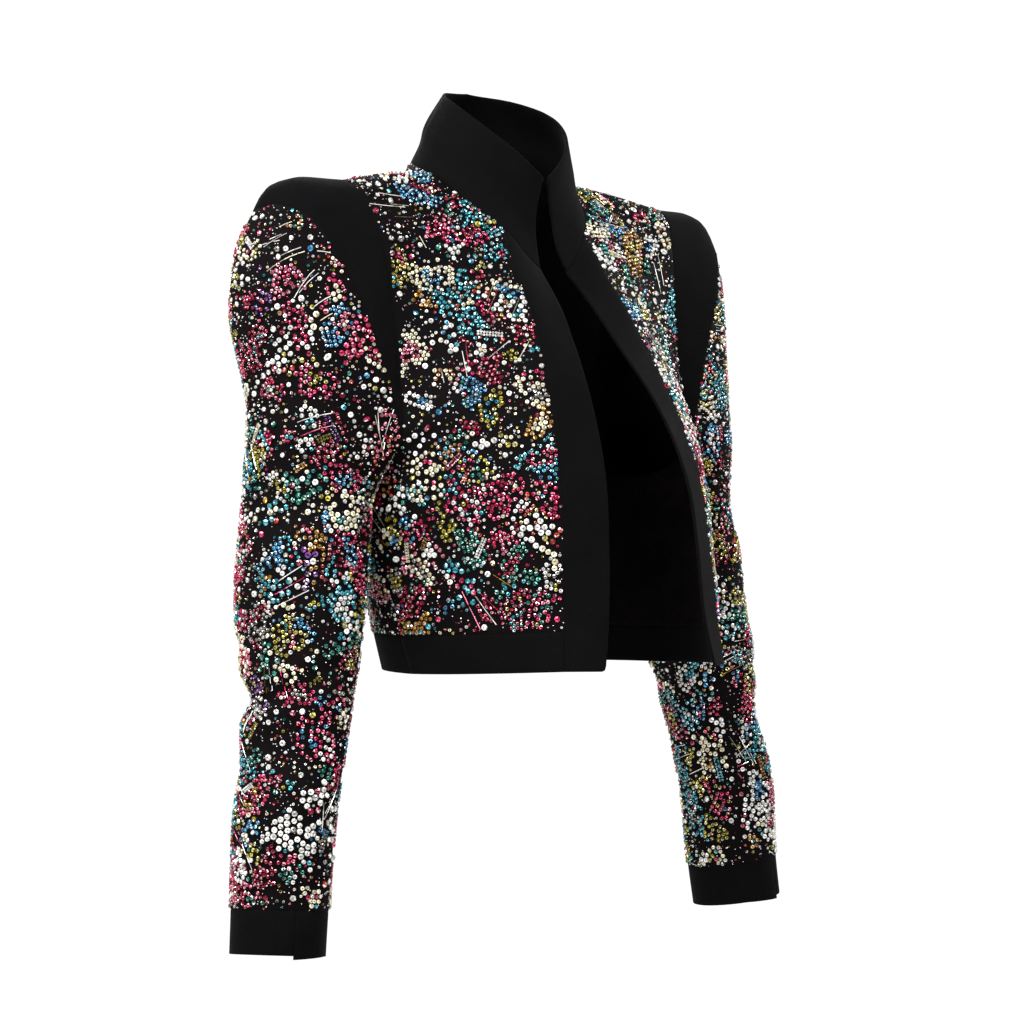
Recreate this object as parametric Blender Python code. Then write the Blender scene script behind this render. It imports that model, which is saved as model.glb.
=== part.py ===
"""Cropped, open-fronted evening jacket, held in the hollow shape that it is worn in.

Metres, +Z up. The wearer faces -Y and the wearer's left is +X. The origin lies on the neck's axis,
level with the points where the shoulder seams meet the neck. Every panel is drawn once, for the
+X side, as a grid of points that shares its seam points with its neighbours. Each grid then
becomes a wall, and the -X side is its mirror image.
"""

import math

import bmesh
import bpy
import numpy as np
from mathutils.kdtree import KDTree

CLOTH_THICKNESS = 0.0024
SEAM_GAP = 0.0003
# A wall's normals are made longer where a seam bends, by no more than this.
MOST_MITRE = 1.6
LEAST_COSINE = 0.1
SAME_PLACE = 0.00002
# How far a piece that ends in a point stops short of it.
TIP_SETBACK = 0.0012
SHARP_ANGLE = 50.0
CURVE_STEPS = 40
HEIGHT_STEPS = 4
BEADED_COLOUR = (0.14, 0.11, 0.12)
BEADED_ROUGHNESS = 0.45
VELVET_COLOUR = (0.010, 0.009, 0.010)
VELVET_ROUGHNESS = 0.9

BAND_CELLS = 3
COLLAR_CELLS = 4
FRONT_NECK_CELLS = 4
BACK_NECK_CELLS = 7
SHOULDER_CELLS = 7
ARMHOLE_CELLS = 9
UNDERARM_CELLS = 3
SIDE_CELLS = 8
HEM_CELLS = 2
CAP_CELLS = 5
SLEEVE_CAP_ROWS = 9
CUFF_CELLS = 2


def table(columns, *rows):
    """A table with named columns. Its first column is the one that it is looked up by."""
    return dict(zip(columns.split(), np.array(rows, float).T))


# Neck ring, by the angle in degrees from the centre front.
NECK_RADIUS = 0.072
NECK_CENTRE_Y = 0.013
NECK_FRONT_ANGLE = 11.5
NECK_BAND_ANGLE = 38.0
NECK_HEIGHT = table(
    "angle z",
    (0, -0.099),
    (11.5, -0.094),
    (38, -0.060),
    (58, -0.041),
    (90, -0.014),
    (130, 0.001),
    (180, 0.004),
)

# Collar's top ring, and how far a rib has come from the base ring to the top ring at a share of
# its height. In front the ribs also dip inwards.
COLLAR_TOP_RADIUS = 0.051
COLLAR_TOP_CENTRE_Y = 0.003
COLLAR_TOP_FRONT_ANGLE = 2.6
COLLAR_TOP_HEIGHT = table(
    "angle z",
    (0, -0.019),
    (45, 0.014),
    (90, 0.0425),
    (135, 0.0585),
    (180, 0.0635),
)
COLLAR_FRONT_DIP = 0.008
COLLAR_LEAN = table("share lean", (0, 0), (0.3, 0.28), (0.5, 0.39), (0.75, 0.66), (1, 1))

# Front edge of the jacket and the seam between its band and the beaded panel, by height.
FRONT_EDGE = table(
    "z x y",
    (-0.094, 0.0140, -0.0570),
    (-0.124, 0.0180, -0.0850),
    (-0.158, 0.0240, -0.1110),
    (-0.202, 0.0340, -0.1420),
    (-0.272, 0.0440, -0.1720),
    (-0.315, 0.0470, -0.1780),
    (-0.382, 0.0520, -0.1830),
    (-0.416, 0.0585, -0.1870),
)
BAND_SEAM = table(
    "z x y",
    (-0.060, 0.0431, -0.0432),
    (-0.090, 0.0480, -0.0620),
    (-0.124, 0.0520, -0.0860),
    (-0.158, 0.0570, -0.1060),
    (-0.202, 0.0650, -0.1290),
    (-0.272, 0.0740, -0.1530),
    (-0.315, 0.0770, -0.1590),
    (-0.384, 0.0815, -0.1655),
    (-0.416, 0.0850, -0.1690),
)
FRONT_HEM_SEAM_HEIGHT = -0.384
FRONT_HEM_HEIGHT = -0.415
BACK_HEM_SEAM_HEIGHT = -0.391
BACK_HEM_HEIGHT = -0.421

# Seams over the shoulder and round the armhole, from the neck outwards and from the top down.
SHOULDER_SEAM = table(
    "x y z",
    (0.072, 0.013, -0.0140),
    (0.096, 0.010, -0.0150),
    (0.130, 0.006, -0.0200),
    (0.170, 0.000, -0.0285),
)
ARMHOLE_FRONT = table(
    "x y z",
    (0.170, 0.000, -0.0285),
    (0.167, -0.014, -0.037),
    (0.163, -0.023, -0.051),
    (0.158, -0.032, -0.073),
    (0.155, -0.037, -0.100),
    (0.152, -0.043, -0.145),
    (0.153, -0.050, -0.197),
    (0.155, -0.0555, -0.233),
)
ARMHOLE_BACK = table(
    "x y z",
    (0.1700, 0.000, -0.0285),
    (0.1695, 0.016, -0.0310),
    (0.1670, 0.031, -0.0400),
    (0.1625, 0.044, -0.0600),
    (0.1580, 0.052, -0.0900),
    (0.1550, 0.059, -0.1400),
    (0.1540, 0.066, -0.1900),
    (0.1550, 0.068, -0.2250),
)
UNDERARM_FRONT = table(
    "x y z",
    (0.155, -0.0555, -0.233),
    (0.153, -0.038, -0.251),
    (0.150, 0.006, -0.262),
)
UNDERARM_BACK = table(
    "x y z",
    (0.155, 0.068, -0.225),
    (0.153, 0.049, -0.247),
    (0.150, 0.006, -0.262),
)
SIDE_SEAM = table(
    "x y z",
    (0.150, 0.006, -0.262),
    (0.148, -0.012, -0.310),
    (0.1455, -0.032, -0.360),
    (0.143, -0.040, -0.390),
)
SIDE_HEM_POINT = (0.138, -0.046, -0.420)
UNDERARM_HEIGHT = -0.262
CENTRE_BACK = table(
    "z x y",
    (0.004, 0.0, 0.085),
    (-0.050, 0.0, 0.099),
    (-0.120, 0.0, 0.108),
    (-0.200, 0.0, 0.106),
    (-0.300, 0.0, 0.098),
    (-0.391, 0.0, 0.0885),
    (-0.421, 0.0, 0.0835),
)

# How far the cross lines of the front panel swell out past their chord, by the share of the rows
# from the shoulder down. Then, for the back panel's lines, their turn at the side in degrees and
# how far they hold it.
FRONT_FULLNESS = table(
    "share band side",
    (0.00, 0.002, 0.002),
    (0.25, 0.007, 0.006),
    (0.45, 0.016, 0.012),
    (0.60, 0.030, 0.040),
    (0.80, 0.024, 0.032),
    (1.00, 0.019, 0.026),
)
BACK_TURN = table(
    "share turn reach",
    (0.00, 8, 0.33),
    (0.15, 34, 0.33),
    (0.30, 34, 0.33),
    (0.45, 34, 0.32),
    (0.60, 82, 0.30),
    (0.80, 88, 0.34),
    (1.00, 86, 0.39),
)
BACK_MIDDLE_REACH = 0.50
FRONT_FADE_ROWS = 8
BACK_FADE_ROWS = 4

# Seam between the black shoulder band and the sleeve, on the same rows as the armhole.
CAP_FRONT = table(
    "x y z",
    (0.2295, 0.0100, -0.0500),
    (0.2275, -0.0050, -0.0530),
    (0.2185, -0.0225, -0.0630),
    (0.2050, -0.0390, -0.0940),
    (0.1880, -0.0480, -0.1320),
    (0.1735, -0.0530, -0.1710),
    (0.1610, -0.0555, -0.2110),
    (0.1550, -0.0555, -0.2330),
)
CAP_BACK = table(
    "x y z",
    (0.2295, 0.0100, -0.0500),
    (0.2325, 0.0300, -0.0530),
    (0.2265, 0.0500, -0.0630),
    (0.2120, 0.0660, -0.0940),
    (0.1940, 0.0730, -0.1320),
    (0.1780, 0.0745, -0.1710),
    (0.1625, 0.0720, -0.2070),
    (0.1550, 0.0680, -0.2250),
)
# How level the band leaves the body and how steeply it reaches the sleeve, near the shoulder's top.
BAND_LEAVES = (1.0, -0.02)
BAND_ARRIVES = (0.22, -0.97)
BAND_TOP_HEIGHT = -0.032
BAND_TURN_DEPTH = 0.065
BAND_LEAVE_REACH = 0.62
BAND_ARRIVE_REACH = 0.45

# Sleeve and cuff rings, by height: centre, and half the width that shows from the front corner.
SLEEVE_RINGS = table(
    "z x y half_width",
    (-0.290, 0.2026, 0.0070, 0.0500),
    (-0.360, 0.2080, 0.0030, 0.0485),
    (-0.440, 0.2225, -0.0080, 0.0434),
    (-0.530, 0.2390, -0.0150, 0.0391),
    (-0.6005, 0.2449, -0.0169, 0.0372),
    (-0.640, 0.2490, -0.0195, 0.0366),
)
SLEEVE_WIDTH_RATIO = 0.92
SLEEVE_DEPTH_RATIO = 1.10
BICEP_HEIGHT = -0.290
# How the sleeve leaves its armhole seam: outwards and down near the shoulder's top, straight for
# its ring lower down.
CAP_FLARE = 0.38
CAP_BACKWARD_FLARE = 0.24
CAP_FALL = 0.9
CAP_STEEP_ABOVE = -0.20
CAP_STEEP_HEIGHT = 0.14
CAP_LEAVE_REACH = 0.30
CAP_ARRIVE_REACH = 0.36
RING_STEP = 0.02
SLEEVE_ROW_HEIGHTS = (
    -0.290,
    -0.315,
    -0.340,
    -0.365,
    -0.390,
    -0.408,
    -0.422,
    -0.432,
    -0.442,
    -0.456,
    -0.475,
    -0.500,
    -0.527,
    -0.553,
    -0.577,
    -0.6005,
)
UNDER_SLEEVE_HALF_ANGLE = 55.0
# Under the arm the sleeve and the body lie face to face at their seam, this far apart.
UNDERARM_LAYER_GAP = CLOTH_THICKNESS + 2 * SEAM_GAP
CUFF_HEIGHT = 0.034
CUFF_STEP_DROP = 0.003
CUFF_STEP_COLUMN = 4
CUFF_STEP_SPREAD = 4

# Dents, creases and one bulge of the sleeve: where each is deepest, by height and by angle round
# the sleeve from its inner side, and how deep, high and wide round it is. They fade in below the
# armhole seam.
SLEEVE_DENTS = table(
    "z angle depth half_height half_angle slant",
    (-0.202, 140, 0.0092, 0.050, 52, 0.0),
    (-0.352, 140, -0.0048, 0.046, 52, 0.0),
    (-0.437, 142, 0.0100, 0.015, 46, 0.004),
    (-0.490, 140, 0.0035, 0.028, 50, 0.0),
    (-0.283, -140, 0.0080, 0.030, 42, 0.0),
    (-0.468, -138, 0.0085, 0.032, 42, 0.0),
    (-0.402, -100, 0.0022, 0.013, 30, -0.016),
    (-0.470, -75, 0.0018, 0.014, 34, 0.014),
)
DENT_FADE_ROWS = 4
# Below the elbow the sleeve swings outwards and forwards, so its rings tilt: at the cuff they rise
# this much for each metre outwards and for each metre backwards.
RING_TILT = (0.120, -0.100)
TILT_STARTS = -0.440
TILT_IS_WHOLE = -0.600


def smooth_read(rows, column, at):
    """The column's value where the table's first column is `at`, on a smooth curve through the rows."""
    keys = next(iter(rows.values()))
    values = rows[column]
    if keys[0] > keys[-1]:
        keys, values = keys[::-1], values[::-1]
    slopes = np.gradient(values, keys)
    at = np.clip(at, keys[0], keys[-1])
    i = int(np.clip(np.searchsorted(keys, at) - 1, 0, len(keys) - 2))
    width = keys[i + 1] - keys[i]
    t = (at - keys[i]) / width
    start = values[i] * (2 * t**3 - 3 * t**2 + 1) + values[i + 1] * (3 * t**2 - 2 * t**3)
    return start + width * (slopes[i] * (t**3 - 2 * t**2 + t) + slopes[i + 1] * (t**3 - t**2))


def evenly(points, cells):
    """`cells` equal steps along a smooth curve through the points."""
    points = np.array(points, float)
    lengths = np.r_[0, np.cumsum(np.linalg.norm(np.diff(points, axis=0), axis=1))]
    fine = np.linspace(0, lengths[-1], CURVE_STEPS * cells + 1)
    rows = {"length": lengths, "x": points[:, 0], "y": points[:, 1], "z": points[:, 2]}
    dense = np.array([[smooth_read(rows, c, s) for c in "xyz"] for s in fine])
    run = np.r_[0, np.cumsum(np.linalg.norm(np.diff(dense, axis=0), axis=1))]
    wanted = np.linspace(0, run[-1], cells + 1)
    return np.stack([np.interp(wanted, run, dense[:, k]) for k in range(3)], axis=1)


def along(rows, cells):
    """Equal steps along the curve whose points are the table's rows."""
    return evenly(np.stack([rows["x"], rows["y"], rows["z"]], axis=1), cells)


def by_height(rows, top, bottom, cells):
    """Equal steps down the curve that the table gives by height."""
    heights = np.linspace(top, bottom, HEIGHT_STEPS * cells + 1)
    return evenly([(smooth_read(rows, "x", z), smooth_read(rows, "y", z), z) for z in heights], cells)


def joined(*runs):
    """Runs of points end to end, with each shared point kept once."""
    return np.concatenate([runs[0], *[run[1:] for run in runs[1:]]])


def bezier(start, leave, arrive, end, shares):
    """Points of a cubic curve at the given shares of its way."""
    t = np.asarray(shares)[:, None]
    return (
        start * (1 - t) ** 3 + 3 * leave * t * (1 - t) ** 2 + 3 * arrive * t**2 * (1 - t) + end * t**3
    )


def neck_point(angle):
    """Point of the neck seam at an angle in degrees from the centre front."""
    a = math.radians(angle)
    return np.array(
        [
            NECK_RADIUS * math.sin(a),
            NECK_CENTRE_Y - NECK_RADIUS * math.cos(a),
            smooth_read(NECK_HEIGHT, "z", angle),
        ]
    )


def neck_run(start, end, cells):
    """Points of the neck seam at equal angles."""
    return np.array([neck_point(a) for a in np.linspace(start, end, cells + 1)])


NECK_STOPS = (
    (NECK_FRONT_ANGLE, NECK_BAND_ANGLE, BAND_CELLS),
    (NECK_BAND_ANGLE, 90.0, FRONT_NECK_CELLS),
    (90.0, 180.0, BACK_NECK_CELLS),
)
BODY_ROWS = ARMHOLE_CELLS + UNDERARM_CELLS + SIDE_CELLS


def pinned(grid, top, fade_rows):
    """The grid with its first row moved onto `top`, and less of that move in each row below."""
    fade = np.clip(1 - np.arange(len(grid)) / fade_rows, 0, 1) ** 2
    return grid + fade[:, None, None] * (top - grid[0])[None]


def front_line(band, side, share, cells):
    """Cross line of the front panel between a point of its band seam and one of its side."""
    chord = side - band
    out = np.array([chord[1], -chord[0], 0.0])
    out /= np.linalg.norm(out)
    leave = band + chord / 3 + out * smooth_read(FRONT_FULLNESS, "band", share)
    arrive = side - chord / 3 + out * smooth_read(FRONT_FULLNESS, "side", share)
    return bezier(band, leave, arrive, side, np.linspace(0, 1, cells + 1))


def back_line(side, middle, share, cells):
    """Cross line of half of the back panel, from its side to the centre back."""
    reach = np.linalg.norm((side - middle)[:2])
    reach *= smooth_read(BACK_TURN, "reach", share)
    turn = math.radians(smooth_read(BACK_TURN, "turn", share))
    leave = side + reach * np.array([-math.cos(turn), math.sin(turn), 0.0])
    arrive = middle + np.array([BACK_MIDDLE_REACH * side[0], 0.0, 0.0])
    return bezier(side, leave, arrive, middle, np.linspace(0, 1, cells + 1))


def shoulder_points():
    """Points of the shoulder seam, from the neck to the shoulder's tip."""
    return along(SHOULDER_SEAM, SHOULDER_CELLS)


def front_side():
    """Right-hand border of the front panel: armhole, underarm and side seam."""
    return joined(
        along(ARMHOLE_FRONT, ARMHOLE_CELLS),
        along(UNDERARM_FRONT, UNDERARM_CELLS),
        along(SIDE_SEAM, SIDE_CELLS),
    )


def back_side():
    """Border of the back panel: armhole, underarm and side seam."""
    return joined(
        along(ARMHOLE_BACK, ARMHOLE_CELLS),
        along(UNDERARM_BACK, UNDERARM_CELLS),
        along(SIDE_SEAM, SIDE_CELLS),
    )


def band_rows(rows, top):
    """Points down the front band along one of its long edges, from the neck seam to the hem."""
    neck_rows = ARMHOLE_CELLS + UNDERARM_CELLS - FRONT_NECK_CELLS
    upper = by_height(rows, rows["z"][0], UNDERARM_HEIGHT, neck_rows)
    lower = by_height(rows, UNDERARM_HEIGHT, FRONT_HEM_SEAM_HEIGHT, SIDE_CELLS)
    hem = by_height(rows, FRONT_HEM_SEAM_HEIGHT, FRONT_HEM_HEIGHT, HEM_CELLS)
    points = joined(upper, lower, hem)
    points[0] = top
    return points


def band_seam():
    """Seam between the front band and the panel, from the neck seam to the hem seam."""
    return band_rows(BAND_SEAM, neck_point(NECK_BAND_ANGLE))[:-HEM_CELLS]


def front_panel():
    """Grid of the front panel, with its rows from the shoulder seam to the hem seam."""
    left = joined(neck_run(90.0, NECK_BAND_ANGLE, FRONT_NECK_CELLS), band_seam())
    right = front_side()
    rows = [
        front_line(left[k], right[k], k / BODY_ROWS, SHOULDER_CELLS) for k in range(BODY_ROWS + 1)
    ]
    return pinned(np.array(rows), shoulder_points(), FRONT_FADE_ROWS)


def centre_back():
    """Line down the centre of the back, from the neck seam to the hem seam."""
    upper = by_height(CENTRE_BACK, neck_point(180.0)[2], UNDERARM_HEIGHT, ARMHOLE_CELLS + UNDERARM_CELLS)
    return joined(upper, by_height(CENTRE_BACK, UNDERARM_HEIGHT, BACK_HEM_SEAM_HEIGHT, SIDE_CELLS))


def back_half():
    """Grid of half of the back panel, each row from the side to the centre back."""
    side = back_side()
    middle = centre_back()
    cells = SHOULDER_CELLS + BACK_NECK_CELLS
    rows = [back_line(side[k], middle[k], k / BODY_ROWS, cells) for k in range(BODY_ROWS + 1)]
    top = joined(shoulder_points()[::-1], neck_run(90.0, 180.0, BACK_NECK_CELLS))
    return pinned(np.array(rows), top, BACK_FADE_ROWS)


def front_band():
    """Grid of the front band, from the neck seam to the hem."""
    seam = band_rows(BAND_SEAM, neck_point(NECK_BAND_ANGLE))
    edge = band_rows(FRONT_EDGE, neck_point(NECK_FRONT_ANGLE))
    across = np.linspace(0, 1, BAND_CELLS + 1)[None, :, None]
    grid = edge[:, None] * (1 - across) + seam[:, None] * across
    return pinned(grid, neck_run(NECK_FRONT_ANGLE, NECK_BAND_ANGLE, BAND_CELLS), FRONT_FADE_ROWS)


def hem_grid(top, bottom):
    """Grid of a hem band between its two long edges."""
    down = np.linspace(0, 1, HEM_CELLS + 1)[:, None, None]
    return top[None] * (1 - down) + bottom[None] * down


def hem_front():
    """Grid of the hem band under a front panel."""
    band = band_rows(BAND_SEAM, neck_point(NECK_BAND_ANGLE))[-1]
    bottom = front_line(band, np.array(SIDE_HEM_POINT), 1.0, SHOULDER_CELLS)
    return hem_grid(front_panel()[-1], bottom)


def hem_back():
    """Grid of half of the hem band under the back panel."""
    middle = np.array([0.0, smooth_read(CENTRE_BACK, "y", BACK_HEM_HEIGHT), BACK_HEM_HEIGHT])
    bottom = back_line(np.array(SIDE_HEM_POINT), middle, 1.0, SHOULDER_CELLS + BACK_NECK_CELLS)
    return hem_grid(back_half()[-1], bottom)


def collar_half():
    """Grid of half of the collar, each column from the top edge down to the neck seam."""
    columns = []
    neck = joined(*[neck_run(*stop) for stop in NECK_STOPS])
    angles = np.concatenate([[NECK_FRONT_ANGLE], *[np.linspace(*s[:2], s[2] + 1)[1:] for s in NECK_STOPS]])
    for base, angle in zip(neck, angles):
        share = (angle - NECK_FRONT_ANGLE) / (180.0 - NECK_FRONT_ANGLE)
        turn = COLLAR_TOP_FRONT_ANGLE + share * (180.0 - COLLAR_TOP_FRONT_ANGLE)
        a = math.radians(turn)
        top = np.array(
            [
                COLLAR_TOP_RADIUS * math.sin(a),
                COLLAR_TOP_CENTRE_Y - COLLAR_TOP_RADIUS * math.cos(a),
                smooth_read(COLLAR_TOP_HEIGHT, "z", turn),
            ]
        )
        inwards = np.array([-math.sin(a), math.cos(a), 0.0])
        dip = COLLAR_FRONT_DIP * max(math.cos(a), 0.0) ** 2
        column = []
        for up in np.linspace(1, 0, COLLAR_CELLS + 1):
            lean = smooth_read(COLLAR_LEAN, "lean", up)
            point = base * (1 - lean) + top * lean
            point[2] = base[2] * (1 - up) + top[2] * up
            column.append(point + inwards * dip * math.sin(math.pi * up))
        columns.append(column)
    return np.array(columns).transpose(1, 0, 2)


def cap_loop():
    """Points of the seam between shoulder band and sleeve, from the front tip over to the back tip."""
    front = along(CAP_FRONT, ARMHOLE_CELLS)
    back = along(CAP_BACK, ARMHOLE_CELLS)
    return joined(front[::-1], back)


def shoulder_band():
    """Grid of the black band over the shoulder, each row from the front tip to the back tip."""
    inner = joined(along(ARMHOLE_FRONT, ARMHOLE_CELLS)[::-1], along(ARMHOLE_BACK, ARMHOLE_CELLS))
    outer = cap_loop()
    grid = []
    for start, end in zip(inner, outer):
        chord = end - start
        width = np.linalg.norm(chord)
        if width < SAME_PLACE:
            grid.append([start] * (CAP_CELLS + 1))
            continue
        level = np.array([chord[0], chord[1], 0.0]) / math.hypot(chord[0], chord[1])
        upright = np.clip((BAND_TOP_HEIGHT - start[2]) / BAND_TURN_DEPTH, 0, 1)
        handles = []
        for out, rise in (BAND_LEAVES, BAND_ARRIVES):
            bent = level * out + np.array([0.0, 0.0, rise])
            handles.append(bent * (1 - upright) + chord / width * upright)
        leave = start + handles[0] * width * (BAND_LEAVE_REACH * (1 - upright) + upright / 3)
        arrive = end - handles[1] * width * (BAND_ARRIVE_REACH * (1 - upright) + upright / 3)
        grid.append(bezier(start, leave, arrive, end, np.linspace(0, 1, CAP_CELLS + 1)))
    return np.array(grid).transpose(1, 0, 2)


def sleeve_angles():
    """Angles round the sleeve from its inner side: over the cap, then under the arm."""
    half = UNDER_SLEEVE_HALF_ANGLE
    cap = np.linspace(-half, half - 360.0, 2 * ARMHOLE_CELLS + 1)
    under = np.linspace(half - 360.0, -half - 360.0, 2 * UNDERARM_CELLS + 1)
    return cap, under


def dent(z, angle):
    """Depth of the sleeve's dents at a height and an angle round the sleeve."""
    depth = 0.0
    for k in range(len(SLEEVE_DENTS["z"])):
        row = {name: values[k] for name, values in SLEEVE_DENTS.items()}
        off = (angle - row["angle"] + 180.0) % 360.0 - 180.0
        round_it = off / row["half_angle"]
        up = (z - row["z"] - row["slant"] * round_it) / row["half_height"]
        depth += row["depth"] * math.exp(-(up**2) - round_it**2)
    return depth


def ring_point(z, angle):
    """Point of the sleeve's ring at a height and an angle in degrees from its inner side."""
    a = math.radians(angle)
    half_width = smooth_read(SLEEVE_RINGS, "half_width", z)
    east = -SLEEVE_WIDTH_RATIO * half_width * math.cos(a)
    north = SLEEVE_DEPTH_RATIO * half_width * math.sin(a)
    share = np.clip((TILT_STARTS - z) / (TILT_STARTS - TILT_IS_WHOLE), 0, 1)
    rise = share * (RING_TILT[0] * east + RING_TILT[1] * north)
    return np.array(
        [
            smooth_read(SLEEVE_RINGS, "x", z) + east,
            smooth_read(SLEEVE_RINGS, "y", z) + north,
            z + rise,
        ]
    )


def dented(point, angle, share):
    """A point of the sleeve moved in by the dents, or by a share of them."""
    a = math.radians(angle)
    inwards = np.array([math.cos(a), -math.sin(a), 0.0])
    return point + inwards * dent(point[2], angle) * share


def sleeve_column(start, outward, angle):
    """Points down one column of the sleeve, from the armhole to the cuff seam."""
    end = ring_point(BICEP_HEIGHT, angle)
    below = ring_point(BICEP_HEIGHT - RING_STEP, angle)
    down = (below - end) / np.linalg.norm(below - end)
    reach = np.linalg.norm(end - start)
    cap = bezier(
        start,
        start + outward * reach * CAP_LEAVE_REACH,
        end - down * reach * CAP_ARRIVE_REACH,
        end,
        np.linspace(0, 1, SLEEVE_CAP_ROWS + 1),
    )
    column = joined(cap, np.array([ring_point(z, angle) for z in SLEEVE_ROW_HEIGHTS]))
    shares = np.clip(np.arange(len(column)) / DENT_FADE_ROWS, 0, 1)
    return np.array([dented(point, angle, share) for point, share in zip(column, shares)])


def leaving(start, end, steep):
    """Direction in which the sleeve leaves its armhole seam."""
    out = start - np.array([smooth_read(SLEEVE_RINGS, c, BICEP_HEIGHT) for c in "xy"] + [start[2]])
    out /= np.linalg.norm(out)
    way = (end - start) / np.linalg.norm(end - start)
    flare = CAP_FLARE + CAP_BACKWARD_FLARE * out[1]
    way = way * (1 - steep) + (out * flare - np.array([0.0, 0.0, CAP_FALL])) * steep
    return way / np.linalg.norm(way)


def top_sleeve():
    """Grid of the upper sleeve piece."""
    columns = []
    for start, angle in zip(cap_loop(), sleeve_angles()[0]):
        steep = np.clip((start[2] - CAP_STEEP_ABOVE) / CAP_STEEP_HEIGHT, 0, 1)
        way = leaving(start, ring_point(BICEP_HEIGHT, angle), steep)
        columns.append(sleeve_column(start, way, angle))
    return np.array(columns).transpose(1, 0, 2)


def under_sleeve():
    """Grid of the lower sleeve piece, under the arm."""
    loop = joined(along(UNDERARM_BACK, UNDERARM_CELLS), along(UNDERARM_FRONT, UNDERARM_CELLS)[::-1])
    loop[1:-1, 0] += UNDERARM_LAYER_GAP
    columns = []
    for start, angle in zip(loop, sleeve_angles()[1]):
        way = leaving(start, ring_point(BICEP_HEIGHT, angle), 0.0)
        columns.append(sleeve_column(start, way, angle))
    return np.array(columns).transpose(1, 0, 2)


def cuff():
    """Grid of the cuff, a strip round the sleeve whose ends meet at a small step in its edge."""
    cap, under = sleeve_angles()
    angles = np.concatenate([cap[CUFF_STEP_COLUMN:], under[1:], cap[1 : CUFF_STEP_COLUMN + 1] - 360.0])
    top = SLEEVE_ROW_HEIGHTS[-1]
    columns = []
    for k, angle in enumerate(angles):
        away = (len(angles) - 1 - k) / CUFF_STEP_SPREAD
        step = CUFF_STEP_DROP * max(0.0, 1 - away)
        column = []
        for down in np.linspace(0, 1, CUFF_CELLS + 1):
            point = dented(ring_point(top - CUFF_HEIGHT * down, angle), angle, 1.0)
            point[2] -= step * down
            column.append(point)
        columns.append(column)
    return np.array(columns).transpose(1, 0, 2)


def mirrored(grid):
    """The grid on the other side of the body, with its columns in the order that keeps it facing out."""
    return grid[:, ::-1] * np.array([-1.0, 1.0, 1.0])


def whole(half):
    """Both halves of a piece that crosses the centre back, as one grid."""
    return np.concatenate([half, mirrored(half)[:, 1:]], axis=1)


def all_grids():
    """Every piece's grid by its name, each with rows downwards and columns round the wearer."""
    grids = {
        "back": whole(back_half()),
        "hem_band_back": whole(hem_back()),
        "collar": whole(collar_half()),
    }
    halves = {
        "front": front_panel(),
        "front_band": front_band(),
        "hem_band_front": hem_front(),
        "shoulder_band": shoulder_band(),
        "top_sleeve": top_sleeve(),
        "under_sleeve": under_sleeve(),
        "cuff": cuff(),
    }
    for name, grid in halves.items():
        grids[name + "_left"] = grid
        grids[name + "_right"] = mirrored(grid)
    return grids


def is_point(points):
    """Whether a border of a grid has shrunk to a point."""
    return np.ptp(points, axis=0).max() < SAME_PLACE


def raw_normals(grid):
    """Outward unit normals of a grid at its own points, from the cells round each."""
    falling = grid[1:, 1:] - grid[:-1, :-1]
    rising = grid[:-1, 1:] - grid[1:, :-1]
    cells = np.cross(falling, rising)
    normals = np.zeros_like(grid)
    for r, c in ((0, 0), (0, 1), (1, 0), (1, 1)):
        normals[r : r + cells.shape[0], c : c + cells.shape[1]] += cells
    return normals / np.linalg.norm(normals, axis=2, keepdims=True)


def seam_key(point):
    """Key under which the points of neighbouring pieces meet."""
    return tuple(np.round(point * 1e5).astype(int))


def abs_x(point):
    """The point on the +X side of the body."""
    return np.array([abs(point[0]), point[1], point[2]])


def shared_normals(grids):
    """Normals of all the grids, the same on both sides of each seam, and longer where a seam bends."""
    own = {name: raw_normals(grid) for name, grid in grids.items()}
    points = np.concatenate([grid.reshape(-1, 3) for grid in grids.values()])
    normals = np.concatenate([own[name].reshape(-1, 3) for name in grids])
    tree = KDTree(len(points))
    for k, point in enumerate(points):
        tree.insert(point, k)
    tree.balance()
    shared = {}
    start = 0
    for name, grid in grids.items():
        long = []
        for k in range(start, start + grid.shape[0] * grid.shape[1]):
            near = [found[1] for found in tree.find_range(points[k], SAME_PLACE)]
            mean = np.sum(normals[near], axis=0)
            mean = mean / np.linalg.norm(mean)
            cosine = max(float(mean @ normals[k]), LEAST_COSINE)
            long.append(mean * min(1 / cosine, MOST_MITRE))
        shared[name] = np.array(long).reshape(grid.shape)
        start += len(long)
    return shared


def drawn_in(grid, normals):
    """Moves that draw each border of a grid in by half of the seam gap, square to the seam."""
    moves = np.zeros_like(grid)
    borders = (
        (np.s_[0, :], np.s_[1, :]),
        (np.s_[-1, :], np.s_[-2, :]),
        (np.s_[:, 0], np.s_[:, 1]),
        (np.s_[:, -1], np.s_[:, -2]),
    )
    for edge, inner in borders:
        if is_point(grid[edge]):
            continue
        square = np.cross(normals[edge], np.gradient(grid[edge], axis=0))
        square /= np.linalg.norm(square, axis=1, keepdims=True)
        inwards = np.sign(np.sum(square * (grid[inner] - grid[edge])))
        moves[edge] += square * inwards * SEAM_GAP / 2
    for end, near in ((0, 1), (-1, -2)):
        if is_point(grid[:, end]):
            way = grid[:, near].mean(axis=0) - grid[0, end]
            moves[:, end] = way / np.linalg.norm(way) * TIP_SETBACK
    return moves


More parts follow.
